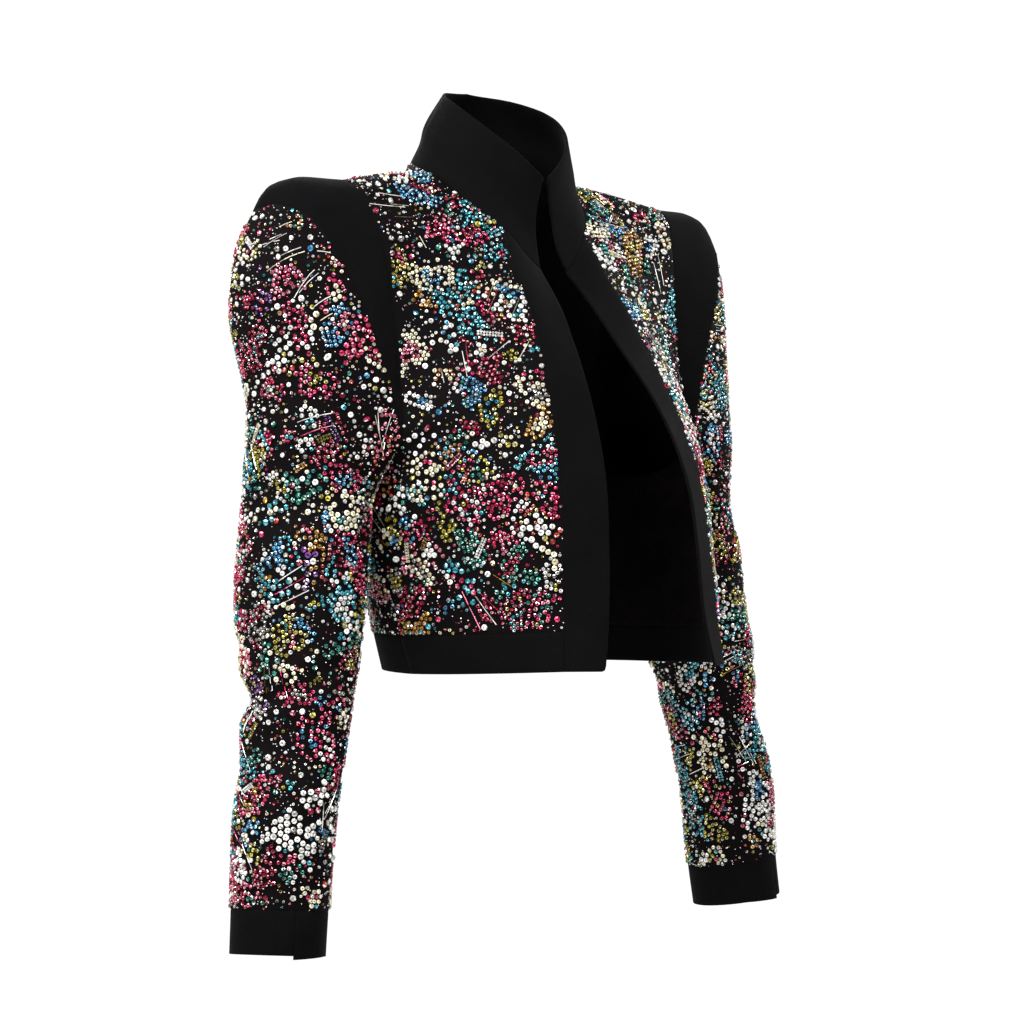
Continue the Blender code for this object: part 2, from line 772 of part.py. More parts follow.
def wall_mesh(name, grid, normals):
    """Closed wall of the cloth's thickness about a grid of points.

    Neighbours cut the twisted faces along a shared seam by the same diagonals, so they never meet.
    """
    rows, columns = grid.shape[:2]
    middle = grid + drawn_in(grid, normals)
    outer = middle + normals * CLOTH_THICKNESS / 2
    inner = middle - normals * CLOTH_THICKNESS / 2
    bm = bmesh.new()
    out = [[bm.verts.new(outer[r, c]) for c in range(columns)] for r in range(rows)]
    ins = [[bm.verts.new(inner[r, c]) for c in range(columns)] for r in range(rows)]
    for r in range(rows - 1):
        for c in range(columns - 1):
            bm.faces.new((out[r][c], out[r + 1][c], out[r + 1][c + 1], out[r][c + 1]))
            bm.faces.new((ins[r][c], ins[r][c + 1], ins[r + 1][c + 1], ins[r + 1][c]))
    border = [(0, c) for c in range(columns)]
    border += [(r, columns - 1) for r in range(1, rows)]
    border += [(rows - 1, c) for c in range(columns - 2, -1, -1)]
    border += [(r, 0) for r in range(rows - 2, 0, -1)]
    for (r0, c0), (r1, c1) in zip(border, border[1:] + border[:1]):
        corners = (out[r0][c0], out[r1][c1], ins[r1][c1], ins[r0][c0])
        first = 0 if seam_key(abs_x(grid[r0, c0])) < seam_key(abs_x(grid[r1, c1])) else 1
        for half in ((0, 1, 2), (0, 2, 3)):
            bm.faces.new([corners[(first + k) % 4] for k in half])
    bmesh.ops.remove_doubles(bm, verts=bm.verts, dist=SAME_PLACE / 4)
    mesh = bpy.data.meshes.new(name)
    bm.to_mesh(mesh)
    bm.free()
    mesh.shade_smooth()
    mesh.set_sharp_from_angle(angle=math.radians(SHARP_ANGLE))
    return mesh


def material(name, colour, roughness):
    """Plain cloth material."""
    made = bpy.data.materials.new(name)
    made.use_nodes = True
    shader = made.node_tree.nodes["Principled BSDF"]
    shader.inputs["Base Color"].default_value = (*colour, 1.0)
    shader.inputs["Roughness"].default_value = roughness
    shader.inputs["Metallic"].default_value = 0.0
    made.diffuse_color = (*colour, 1.0)
    return made


def build():
    """All the pieces of the jacket."""
    for old in list(bpy.data.objects):
        bpy.data.objects.remove(old)
    beaded = material("beaded_cloth", BEADED_COLOUR, BEADED_ROUGHNESS)
    velvet = material("black_velvet", VELVET_COLOUR, VELVET_ROUGHNESS)
    beaded_pieces = ("front_left", "front_right", "back", "top_sleeve", "under_sleeve")
    grids = all_grids()
    normals = shared_normals(grids)
    for name, grid in grids.items():
        mesh = wall_mesh(name, grid, normals[name])
        mesh.materials.append(beaded if name.startswith(beaded_pieces) else velvet)
        piece = bpy.data.objects.new(name, mesh)
        bpy.context.scene.collection.objects.link(piece)


build()
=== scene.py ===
"""Looks of the cropped evening jacket: velvet bands, beaded cloth and its glass beads.

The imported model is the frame. The cloth pattern's tables and curves are repeated here, sampled more
finely, so that every sewn piece gets a smooth thin shell in its solid's place.
"""

import itertools
import math

import bmesh
import bpy
import numpy as np
from mathutils import Matrix, Vector
from mathutils.kdtree import KDTree


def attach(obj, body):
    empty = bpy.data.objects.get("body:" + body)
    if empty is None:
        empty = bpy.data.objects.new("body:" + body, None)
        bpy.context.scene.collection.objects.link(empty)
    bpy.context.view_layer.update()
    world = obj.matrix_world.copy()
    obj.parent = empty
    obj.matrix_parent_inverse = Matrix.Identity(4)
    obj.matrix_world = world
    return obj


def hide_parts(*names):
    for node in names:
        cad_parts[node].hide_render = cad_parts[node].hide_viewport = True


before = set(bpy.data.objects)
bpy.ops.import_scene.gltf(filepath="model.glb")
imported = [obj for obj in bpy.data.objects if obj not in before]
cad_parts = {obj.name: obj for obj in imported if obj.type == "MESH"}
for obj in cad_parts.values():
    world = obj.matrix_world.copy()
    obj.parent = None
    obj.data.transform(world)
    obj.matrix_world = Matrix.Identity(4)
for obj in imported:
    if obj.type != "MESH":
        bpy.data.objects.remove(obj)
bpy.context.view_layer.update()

CLOTH_THICKNESS = 0.0024
# Neighbouring shells run this far into each other, so that no light comes through a seam.
SEAM_GAP = -0.0002
MOST_MITRE = 1.6
LEAST_COSINE = 0.1
SAME_PLACE = 0.00002
TIP_SETBACK = 0.0012
EDGE_ROUNDING = 0.0008

# Cells of the pattern's grids: FINE times as many each way as the solids have.
FINE = 4
CURVE_STEPS = 10
HEIGHT_STEPS = 2
BAND_CELLS = 3 * FINE
COLLAR_CELLS = 4 * FINE
FRONT_NECK_CELLS = 4 * FINE
BACK_NECK_CELLS = 7 * FINE
SHOULDER_CELLS = 7 * FINE
ARMHOLE_CELLS = 9 * FINE
UNDERARM_CELLS = 3 * FINE
SIDE_CELLS = 8 * FINE
HEM_CELLS = 2 * FINE
CAP_CELLS = 5 * FINE
SLEEVE_CAP_ROWS = 9 * FINE
CUFF_CELLS = 2 * FINE


def table(columns, text):
    """A table with named columns, its rows split by semicolons. It is looked up by the first column."""
    rows = [[float(number) for number in row.split()] for row in text.split(";")]
    return dict(zip(columns.split(), np.array(rows).T))


def rows_of(named):
    """The rows of a table, each with its values by name."""
    return [dict(zip(named, row)) for row in zip(*named.values())]


# Neck ring, by the angle in degrees from the centre front.
NECK_RADIUS = 0.072
NECK_CENTRE_Y = 0.013
NECK_FRONT_ANGLE = 11.5
NECK_BAND_ANGLE = 38.0
NECK_HEIGHT = table(
    "angle z",
    "0 -0.099; 11.5 -0.094; 38 -0.06; 58 -0.041; 90 -0.014; 130 0.001; 180 0.004",
)

# Collar's top ring, and how far a rib has come from the base ring to the top ring at a share of
# its height. In front the ribs also dip inwards.
COLLAR_TOP_RADIUS = 0.051
COLLAR_TOP_CENTRE_Y = 0.003
COLLAR_TOP_FRONT_ANGLE = 2.6
COLLAR_TOP_HEIGHT = table("angle z", "0 -0.019; 45 0.014; 90 0.0425; 135 0.0585; 180 0.0635")
COLLAR_FRONT_DIP = 0.008
COLLAR_LEAN = table("share lean", "0 0; 0.3 0.28; 0.5 0.39; 0.75 0.66; 1 1")

# Front edge of the jacket and the seam between its band and the beaded panel, by height.
FRONT_EDGE = table(
    "z x y",
    "-0.094 0.014 -0.057; -0.124 0.018 -0.085; -0.158 0.024 -0.111; -0.202 0.034 -0.142; "
    "-0.272 0.044 -0.172; -0.315 0.047 -0.178; -0.382 0.052 -0.183; -0.416 0.0585 -0.187",
)
BAND_SEAM = table(
    "z x y",
    "-0.06 0.0431 -0.0432; -0.09 0.048 -0.062; -0.124 0.052 -0.086; -0.158 0.057 -0.106; "
    "-0.202 0.065 -0.129; -0.272 0.074 -0.153; -0.315 0.077 -0.159; -0.384 0.0815 -0.1655; "
    "-0.416 0.085 -0.169",
)
FRONT_HEM_SEAM_HEIGHT = -0.384
FRONT_HEM_HEIGHT = -0.415
BACK_HEM_SEAM_HEIGHT = -0.391
BACK_HEM_HEIGHT = -0.421

# Seams over the shoulder and round the armhole, from the neck outwards and from the top down.
SHOULDER_SEAM = table(
    "x y z",
    "0.072 0.013 -0.014; 0.096 0.01 -0.015; 0.13 0.006 -0.02; 0.17 0 -0.0285",
)
ARMHOLE_FRONT = table(
    "x y z",
    "0.17 0 -0.0285; 0.167 -0.014 -0.037; 0.163 -0.023 -0.051; 0.158 -0.032 -0.073; "
    "0.155 -0.037 -0.1; 0.152 -0.043 -0.145; 0.153 -0.05 -0.197; 0.155 -0.0555 -0.233",
)
ARMHOLE_BACK = table(
    "x y z",
    "0.17 0 -0.0285; 0.1695 0.016 -0.031; 0.167 0.031 -0.04; 0.1625 0.044 -0.06; "
    "0.158 0.052 -0.09; 0.155 0.059 -0.14; 0.154 0.066 -0.19; 0.155 0.068 -0.225",
)
UNDERARM_FRONT = table("x y z", "0.155 -0.0555 -0.233; 0.153 -0.038 -0.251; 0.15 0.006 -0.262")
UNDERARM_BACK = table("x y z", "0.155 0.068 -0.225; 0.153 0.049 -0.247; 0.15 0.006 -0.262")
SIDE_SEAM = table(
    "x y z",
    "0.15 0.006 -0.262; 0.148 -0.012 -0.31; 0.1455 -0.032 -0.36; 0.143 -0.04 -0.39",
)
SIDE_HEM_POINT = (0.138, -0.046, -0.420)
UNDERARM_HEIGHT = -0.262
CENTRE_BACK = table(
    "z x y",
    "0.004 0 0.085; -0.05 0 0.099; -0.12 0 0.108; -0.2 0 0.106; -0.3 0 0.098; -0.391 0 0.0885; "
    "-0.421 0 0.0835",
)

# How far the cross lines of the front panel swell out past their chord, by the share of the rows
# from the shoulder down. Then, for the back panel's lines, their turn at the side in degrees and
# how far they hold it.
FRONT_FULLNESS = table(
    "share band side",
    "0 0.002 0.002; 0.25 0.007 0.006; 0.45 0.016 0.012; 0.6 0.03 0.04; 0.8 0.024 0.032; "
    "1 0.019 0.026",
)
BACK_TURN = table(
    "share turn reach",
    "0 8 0.33; 0.15 34 0.33; 0.3 34 0.33; 0.45 34 0.32; 0.6 82 0.3; 0.8 88 0.34; 1 86 0.39",
)
BACK_MIDDLE_REACH = 0.50
FRONT_FADE_ROWS = 8 * FINE
BACK_FADE_ROWS = 4 * FINE

# Seam between the black shoulder band and the sleeve, on the same rows as the armhole.
CAP_FRONT = table(
    "x y z",
    "0.2295 0.01 -0.05; 0.2275 -0.005 -0.053; 0.2185 -0.0225 -0.063; 0.205 -0.039 -0.094; "
    "0.188 -0.048 -0.132; 0.1735 -0.053 -0.171; 0.161 -0.0555 -0.211; 0.155 -0.0555 -0.233",
)
CAP_BACK = table(
    "x y z",
    "0.2295 0.01 -0.05; 0.2325 0.03 -0.053; 0.2265 0.05 -0.063; 0.212 0.066 -0.094; "
    "0.194 0.073 -0.132; 0.178 0.0745 -0.171; 0.1625 0.072 -0.207; 0.155 0.068 -0.225",
)
# How level the band leaves the body and how steeply it reaches the sleeve, near the shoulder's top.
BAND_LEAVES = (1.0, -0.02)
BAND_ARRIVES = (0.22, -0.97)
BAND_TOP_HEIGHT = -0.032
BAND_TURN_DEPTH = 0.065
BAND_LEAVE_REACH = 0.62
BAND_ARRIVE_REACH = 0.45

# Sleeve and cuff rings, by height: centre, and half the width that shows from the front corner.
SLEEVE_RINGS = table(
    "z x y half_width",
    "-0.29 0.2026 0.007 0.05; -0.36 0.208 0.003 0.0485; -0.44 0.2225 -0.008 0.0434; "
    "-0.53 0.239 -0.015 0.0391; -0.6005 0.2449 -0.0169 0.0372; -0.64 0.249 -0.0195 0.0366",
)
SLEEVE_WIDTH_RATIO = 0.92
SLEEVE_DEPTH_RATIO = 1.10
BICEP_HEIGHT = -0.290
# How the sleeve leaves its armhole seam: outwards and down near the shoulder's top, straight for
# its ring lower down.
CAP_FLARE = 0.38
CAP_BACKWARD_FLARE = 0.24
CAP_FALL = 0.9
CAP_STEEP_ABOVE = -0.20
CAP_STEEP_HEIGHT = 0.14
CAP_LEAVE_REACH = 0.30
CAP_ARRIVE_REACH = 0.36
RING_STEP = 0.02
SLEEVE_ROW_STOPS = table(
    "row z",
    "0 -0.29; 1 -0.315; 2 -0.34; 3 -0.365; 4 -0.39; 5 -0.408; 6 -0.422; 7 -0.432; 8 -0.442; "
    "9 -0.456; 10 -0.475; 11 -0.5; 12 -0.527; 13 -0.553; 14 -0.577; 15 -0.6005",
)
SLEEVE_ROW_HEIGHTS = np.interp(
    np.arange((len(SLEEVE_ROW_STOPS["row"]) - 1) * FINE + 1) / FINE,
    SLEEVE_ROW_STOPS["row"],
    SLEEVE_ROW_STOPS["z"],
)
UNDER_SLEEVE_HALF_ANGLE = 55.0
# Under the arm the sleeve and the body lie face to face at their seam, this far apart.
UNDERARM_LAYER_GAP = CLOTH_THICKNESS + 2 * SEAM_GAP
CUFF_HEIGHT = 0.034
CUFF_STEP_DROP = 0.003
CUFF_STEP_COLUMN = 4 * FINE
CUFF_STEP_SPREAD = 4 * FINE

# Dents, creases and one bulge of the sleeve: where each is deepest, by height and by angle round
# the sleeve from its inner side, and how deep, high and wide round it is. They fade in below the
# armhole seam.
SLEEVE_DENTS = table(
    "z angle depth half_height half_angle slant",
    "-0.202 140 0.0092 0.05 52 0; -0.352 140 -0.0048 0.046 52 0; -0.437 142 0.01 0.015 46 0.004; "
    "-0.49 140 0.0035 0.028 50 0; -0.283 -140 0.008 0.03 42 0; -0.468 -138 0.0085 0.032 42 0; "
    "-0.402 -100 0.0022 0.013 30 -0.016; -0.47 -75 0.0018 0.014 34 0.014",
)
DENT_FADE_ROWS = 4 * FINE
# Below the elbow the sleeve swings outwards and forwards, so its rings tilt: at the cuff they rise
# this much for each metre outwards and for each metre backwards.
RING_TILT = (0.120, -0.100)
TILT_STARTS = -0.440
TILT_IS_WHOLE = -0.600


def smooth_read(rows, column, at):
    """The column's value where the table's first column is `at`, on a smooth curve through the rows."""
    keys = next(iter(rows.values()))
    values = rows[column]
    if keys[0] > keys[-1]:
        keys, values = keys[::-1], values[::-1]
    slopes = np.gradient(values, keys)
    at = np.clip(at, keys[0], keys[-1])
    i = int(np.clip(np.searchsorted(keys, at) - 1, 0, len(keys) - 2))
    width = keys[i + 1] - keys[i]
    t = (at - keys[i]) / width
    start = values[i] * (2 * t**3 - 3 * t**2 + 1) + values[i + 1] * (3 * t**2 - 2 * t**3)
    return start + width * (slopes[i] * (t**3 - 2 * t**2 + t) + slopes[i + 1] * (t**3 - t**2))


def evenly(points, cells):
    """`cells` equal steps along a smooth curve through the points."""
    points = np.array(points, float)
    lengths = np.r_[0, np.cumsum(np.linalg.norm(np.diff(points, axis=0), axis=1))]
    fine = np.linspace(0, lengths[-1], CURVE_STEPS * cells + 1)
    rows = {"length": lengths, "x": points[:, 0], "y": points[:, 1], "z": points[:, 2]}
    dense = np.array([[smooth_read(rows, c, s) for c in "xyz"] for s in fine])
    run = np.r_[0, np.cumsum(np.linalg.norm(np.diff(dense, axis=0), axis=1))]
    wanted = np.linspace(0, run[-1], cells + 1)
    return np.stack([np.interp(wanted, run, dense[:, k]) for k in range(3)], axis=1)


def along(rows, cells):
    """Equal steps along the curve whose points are the table's rows."""
    return evenly(np.stack([rows["x"], rows["y"], rows["z"]], axis=1), cells)


def by_height(rows, top, bottom, cells):
    """Equal steps down the curve that the table gives by height."""
    heights = np.linspace(top, bottom, HEIGHT_STEPS * cells + 1)
    return evenly([(smooth_read(rows, "x", z), smooth_read(rows, "y", z), z) for z in heights], cells)


def joined(*runs):
    """Runs of points end to end, with each shared point kept once."""
    return np.concatenate([runs[0], *[run[1:] for run in runs[1:]]])


def bezier(start, leave, arrive, end, shares):
    """Points of a cubic curve at the given shares of its way."""
    t = np.asarray(shares)[:, None]
    return (
        start * (1 - t) ** 3 + 3 * leave * t * (1 - t) ** 2 + 3 * arrive * t**2 * (1 - t) + end * t**3
    )


def round_point(radius, centre_y, heights, angle):
    """Point of a ring round the neck at an angle in degrees from the centre front."""
    a = math.radians(angle)
    return np.array([radius * math.sin(a), centre_y - radius * math.cos(a), smooth_read(heights, "z", angle)])


def neck_point(angle):
    """Point of the neck seam at an angle in degrees from the centre front."""
    return round_point(NECK_RADIUS, NECK_CENTRE_Y, NECK_HEIGHT, angle)


def neck_run(start, end, cells):
    """Points of the neck seam at equal angles."""
    return np.array([neck_point(a) for a in np.linspace(start, end, cells + 1)])


NECK_STOPS = (
    (NECK_FRONT_ANGLE, NECK_BAND_ANGLE, BAND_CELLS),
    (NECK_BAND_ANGLE, 90.0, FRONT_NECK_CELLS),
    (90.0, 180.0, BACK_NECK_CELLS),
)
BODY_ROWS = ARMHOLE_CELLS + UNDERARM_CELLS + SIDE_CELLS


def from_columns(columns):
    """Grid of points whose columns are given."""
    return np.array(list(columns)).transpose(1, 0, 2)


def pinned(grid, top, fade_rows):
    """The grid with its first row moved onto `top`, and less of that move in each row below."""
    fade = np.clip(1 - np.arange(len(grid)) / fade_rows, 0, 1) ** 2
    return grid + fade[:, None, None] * (top - grid[0])[None]


def front_line(band, side, share, cells):
    """Cross line of the front panel between a point of its band seam and one of its side."""
    chord = side - band
    out = np.array([chord[1], -chord[0], 0.0])
    out /= np.linalg.norm(out)
    leave = band + chord / 3 + out * smooth_read(FRONT_FULLNESS, "band", share)
    arrive = side - chord / 3 + out * smooth_read(FRONT_FULLNESS, "side", share)
    return bezier(band, leave, arrive, side, np.linspace(0, 1, cells + 1))


def back_line(side, middle, share, cells):
    """Cross line of half of the back panel, from its side to the centre back."""
    reach = np.linalg.norm((side - middle)[:2])
    reach *= smooth_read(BACK_TURN, "reach", share)
    turn = math.radians(smooth_read(BACK_TURN, "turn", share))
    leave = side + reach * np.array([-math.cos(turn), math.sin(turn), 0.0])
    arrive = middle + np.array([BACK_MIDDLE_REACH * side[0], 0.0, 0.0])
    return bezier(side, leave, arrive, middle, np.linspace(0, 1, cells + 1))


def panel_side(armhole, underarm):
    """Side border of a body panel: armhole, underarm and side seam."""
    upper = joined(along(armhole, ARMHOLE_CELLS), along(underarm, UNDERARM_CELLS))
    return joined(upper, along(SIDE_SEAM, SIDE_CELLS))


def band_rows(rows, top):
    """Points down the front band along one of its long edges, from the neck seam to the hem."""
    neck_rows = ARMHOLE_CELLS + UNDERARM_CELLS - FRONT_NECK_CELLS
    upper = by_height(rows, rows["z"][0], UNDERARM_HEIGHT, neck_rows)
    lower = by_height(rows, UNDERARM_HEIGHT, FRONT_HEM_SEAM_HEIGHT, SIDE_CELLS)
    hem = by_height(rows, FRONT_HEM_SEAM_HEIGHT, FRONT_HEM_HEIGHT, HEM_CELLS)
    points = joined(upper, lower, hem)
    points[0] = top
    return points


def band_seam():
    """Seam between the front band and the panel, from the neck seam to the hem seam."""
    return band_rows(BAND_SEAM, neck_point(NECK_BAND_ANGLE))[:-HEM_CELLS]


def front_panel():
    """Grid of the front panel, with its rows from the shoulder seam to the hem seam."""
    left = joined(neck_run(90.0, NECK_BAND_ANGLE, FRONT_NECK_CELLS), band_seam())
    right = panel_side(ARMHOLE_FRONT, UNDERARM_FRONT)
    rows = [front_line(left[k], right[k], k / BODY_ROWS, SHOULDER_CELLS) for k in range(BODY_ROWS + 1)]
    return pinned(np.array(rows), along(SHOULDER_SEAM, SHOULDER_CELLS), FRONT_FADE_ROWS)


def back_half():
    """Grid of half of the back panel, each row from the side to the centre back."""
    side = panel_side(ARMHOLE_BACK, UNDERARM_BACK)
    upper = by_height(CENTRE_BACK, neck_point(180.0)[2], UNDERARM_HEIGHT, ARMHOLE_CELLS + UNDERARM_CELLS)
    lower = by_height(CENTRE_BACK, UNDERARM_HEIGHT, BACK_HEM_SEAM_HEIGHT, SIDE_CELLS)
    middle = joined(upper, lower)
    cells = SHOULDER_CELLS + BACK_NECK_CELLS
    rows = [back_line(side[k], middle[k], k / BODY_ROWS, cells) for k in range(BODY_ROWS + 1)]
    top = joined(along(SHOULDER_SEAM, SHOULDER_CELLS)[::-1], neck_run(90.0, 180.0, BACK_NECK_CELLS))
    return pinned(np.array(rows), top, BACK_FADE_ROWS)


def front_band():
    """Grid of the front band, from the neck seam to the hem."""
    seam = band_rows(BAND_SEAM, neck_point(NECK_BAND_ANGLE))
    edge = band_rows(FRONT_EDGE, neck_point(NECK_FRONT_ANGLE))
    across = np.linspace(0, 1, BAND_CELLS + 1)[None, :, None]
    grid = edge[:, None] * (1 - across) + seam[:, None] * across
    return pinned(grid, neck_run(NECK_FRONT_ANGLE, NECK_BAND_ANGLE, BAND_CELLS), FRONT_FADE_ROWS)


def hem_grid(top, bottom):
    """Grid of a hem band between its two long edges."""
    down = np.linspace(0, 1, HEM_CELLS + 1)[:, None, None]
    return top[None] * (1 - down) + bottom[None] * down


def hem_front():
    """Grid of the hem band under a front panel."""
    band = band_rows(BAND_SEAM, neck_point(NECK_BAND_ANGLE))[-1]
    bottom = front_line(band, np.array(SIDE_HEM_POINT), 1.0, SHOULDER_CELLS)
    return hem_grid(front_panel()[-1], bottom)


def hem_back():
    """Grid of half of the hem band under the back panel."""
    middle = np.array([0.0, smooth_read(CENTRE_BACK, "y", BACK_HEM_HEIGHT), BACK_HEM_HEIGHT])
    bottom = back_line(np.array(SIDE_HEM_POINT), middle, 1.0, SHOULDER_CELLS + BACK_NECK_CELLS)
    return hem_grid(back_half()[-1], bottom)


def collar_half():
    """Grid of half of the collar, each column from the top edge down to the neck seam."""
    columns = []
    neck = joined(*[neck_run(*stop) for stop in NECK_STOPS])
    angles = np.concatenate([[NECK_FRONT_ANGLE], *[np.linspace(*s[:2], s[2] + 1)[1:] for s in NECK_STOPS]])
    for base, angle in zip(neck, angles):
        share = (angle - NECK_FRONT_ANGLE) / (180.0 - NECK_FRONT_ANGLE)
        turn = COLLAR_TOP_FRONT_ANGLE + share * (180.0 - COLLAR_TOP_FRONT_ANGLE)
        a = math.radians(turn)
        top = round_point(COLLAR_TOP_RADIUS, COLLAR_TOP_CENTRE_Y, COLLAR_TOP_HEIGHT, turn)
        inwards = np.array([-math.sin(a), math.cos(a), 0.0])
        dip = COLLAR_FRONT_DIP * max(math.cos(a), 0.0) ** 2
        column = []
        for up in np.linspace(1, 0, COLLAR_CELLS + 1):
            lean = smooth_read(COLLAR_LEAN, "lean", up)
            point = base * (1 - lean) + top * lean
            point[2] = base[2] * (1 - up) + top[2] * up
            column.append(point + inwards * dip * math.sin(math.pi * up))
        columns.append(column)
    return from_columns(columns)


def over_shoulder(front, back):
    """Points of a seam from its front tip over the shoulder to its back tip."""
    return joined(along(front, ARMHOLE_CELLS)[::-1], along(back, ARMHOLE_CELLS))


def shoulder_band():
    """Grid of the black band over the shoulder, each row from the front tip to the back tip."""
    grid = []
    for start, end in zip(over_shoulder(ARMHOLE_FRONT, ARMHOLE_BACK), over_shoulder(CAP_FRONT, CAP_BACK)):
        chord = end - start
        width = np.linalg.norm(chord)
        if width < SAME_PLACE:
            grid.append([start] * (CAP_CELLS + 1))
            continue
        level = np.array([chord[0], chord[1], 0.0]) / math.hypot(chord[0], chord[1])
        upright = np.clip((BAND_TOP_HEIGHT - start[2]) / BAND_TURN_DEPTH, 0, 1)
        handles = []
        for out, rise in (BAND_LEAVES, BAND_ARRIVES):
            bent = level * out + np.array([0.0, 0.0, rise])
            handles.append(bent * (1 - upright) + chord / width * upright)
        leave = start + handles[0] * width * (BAND_LEAVE_REACH * (1 - upright) + upright / 3)
        arrive = end - handles[1] * width * (BAND_ARRIVE_REACH * (1 - upright) + upright / 3)
        grid.append(bezier(start, leave, arrive, end, np.linspace(0, 1, CAP_CELLS + 1)))
    return from_columns(grid)


def sleeve_angles():
    """Angles round the sleeve from its inner side: over the cap, then under the arm."""
    half = UNDER_SLEEVE_HALF_ANGLE
    cap = np.linspace(-half, half - 360.0, 2 * ARMHOLE_CELLS + 1)
    under = np.linspace(half - 360.0, -half - 360.0, 2 * UNDERARM_CELLS + 1)
    return cap, under


def dent(z, angle):
    """Depth of the sleeve's dents at a height and an angle round the sleeve."""
    depth = 0.0
    for row in rows_of(SLEEVE_DENTS):
        off = (angle - row["angle"] + 180.0) % 360.0 - 180.0
        round_it = off / row["half_angle"]
        up = (z - row["z"] - row["slant"] * round_it) / row["half_height"]
        depth += row["depth"] * math.exp(-(up**2) - round_it**2)
    return depth


def ring_point(z, angle):
    """Point of the sleeve's ring at a height and an angle in degrees from its inner side."""
    a = math.radians(angle)
    half_width = smooth_read(SLEEVE_RINGS, "half_width", z)
    east = -SLEEVE_WIDTH_RATIO * half_width * math.cos(a)
    north = SLEEVE_DEPTH_RATIO * half_width * math.sin(a)
    share = np.clip((TILT_STARTS - z) / (TILT_STARTS - TILT_IS_WHOLE), 0, 1)
    rise = share * (RING_TILT[0] * east + RING_TILT[1] * north)
    x, y = (smooth_read(SLEEVE_RINGS, c, z) for c in "xy")
    return np.array([x + east, y + north, z + rise])


def dented(point, angle, share):
    """A point of the sleeve moved in by the dents, or by a share of them."""
    a = math.radians(angle)
    inwards = np.array([math.cos(a), -math.sin(a), 0.0])
    return point + inwards * dent(point[2], angle) * share


def sleeve_column(start, angle, steep):
    """Points down one column of the sleeve, from the armhole to the cuff seam."""
    end = ring_point(BICEP_HEIGHT, angle)
    outward = leaving(start, end, steep)
    below = ring_point(BICEP_HEIGHT - RING_STEP, angle)
    down = (below - end) / np.linalg.norm(below - end)
    reach = np.linalg.norm(end - start)
    cap = bezier(
        start,
        start + outward * reach * CAP_LEAVE_REACH,
        end - down * reach * CAP_ARRIVE_REACH,
        end,
        np.linspace(0, 1, SLEEVE_CAP_ROWS + 1),
    )
    column = joined(cap, np.array([ring_point(z, angle) for z in SLEEVE_ROW_HEIGHTS]))
    shares = np.clip(np.arange(len(column)) / DENT_FADE_ROWS, 0, 1)
    return np.array([dented(point, angle, share) for point, share in zip(column, shares)])


def leaving(start, end, steep):
    """Direction in which the sleeve leaves its armhole seam."""
    out = start - np.array([smooth_read(SLEEVE_RINGS, c, BICEP_HEIGHT) for c in "xy"] + [start[2]])
    out /= np.linalg.norm(out)
    way = (end - start) / np.linalg.norm(end - start)
    flare = CAP_FLARE + CAP_BACKWARD_FLARE * out[1]
    way = way * (1 - steep) + (out * flare - np.array([0.0, 0.0, CAP_FALL])) * steep
    return way / np.linalg.norm(way)


def top_sleeve():
    """Grid of the upper sleeve piece."""
    loop = over_shoulder(CAP_FRONT, CAP_BACK)
    steeps = np.clip((loop[:, 2] - CAP_STEEP_ABOVE) / CAP_STEEP_HEIGHT, 0, 1)
    return from_columns(map(sleeve_column, loop, sleeve_angles()[0], steeps))


def under_sleeve():
    """Grid of the lower sleeve piece, under the arm."""
    loop = joined(along(UNDERARM_BACK, UNDERARM_CELLS), along(UNDERARM_FRONT, UNDERARM_CELLS)[::-1])
    loop[1:-1, 0] += UNDERARM_LAYER_GAP
    return from_columns(map(sleeve_column, loop, sleeve_angles()[1], np.zeros(len(loop))))


def cuff():
    """Grid of the cuff, a strip round the sleeve whose ends meet at a small step in its edge."""
    cap, under = sleeve_angles()
    angles = np.concatenate([cap[CUFF_STEP_COLUMN:], under[1:], cap[1 : CUFF_STEP_COLUMN + 1] - 360.0])
    downs = np.linspace(0, 1, CUFF_CELLS + 1)
    heights = SLEEVE_ROW_HEIGHTS[-1] - CUFF_HEIGHT * downs
    grid = from_columns([dented(ring_point(z, angle), angle, 1.0) for z in heights] for angle in angles)
    away = np.arange(len(angles))[::-1] / CUFF_STEP_SPREAD
    grid[..., 2] -= CUFF_STEP_DROP * np.maximum(0.0, 1 - away) * downs[:, None]
    return grid


def mirrored(grid):
    """The grid on the other side of the body, with its columns in the order that keeps it facing out."""
    return grid[:, ::-1] * np.array([-1.0, 1.0, 1.0])


def whole(half):
    """Both halves of a piece that crosses the centre back, as one grid."""
    return np.concatenate([half, mirrored(half)[:, 1:]], axis=1)


def all_grids():
    """Every piece's grid by its name, each with rows downwards and columns round the wearer."""
    grids = {
        "back": whole(back_half()),
        "hem_band_back": whole(hem_back()),
        "collar": whole(collar_half()),
    }
    halves = {
        "front": front_panel(),
        "front_band": front_band(),
        "hem_band_front": hem_front(),
        "shoulder_band": shoulder_band(),
        "top_sleeve": top_sleeve(),
        "under_sleeve": under_sleeve(),
        "cuff": cuff(),
    }
    for name, grid in halves.items():
        grids[name + "_left"] = grid
        grids[name + "_right"] = mirrored(grid)
    return grids


def is_point(points):
    """Whether a border of a grid has shrunk to a point."""
    return np.ptp(points, axis=0).max() < SAME_PLACE


def cell_normals(grid):
    """Outward normals of a grid's cells, each twice as long as its cell is large."""
    return np.cross(grid[1:, 1:] - grid[:-1, :-1], grid[:-1, 1:] - grid[1:, :-1])


def cell_areas(grid):
    """Areas of a grid's cells."""
    return np.linalg.norm(cell_normals(grid), axis=2) / 2


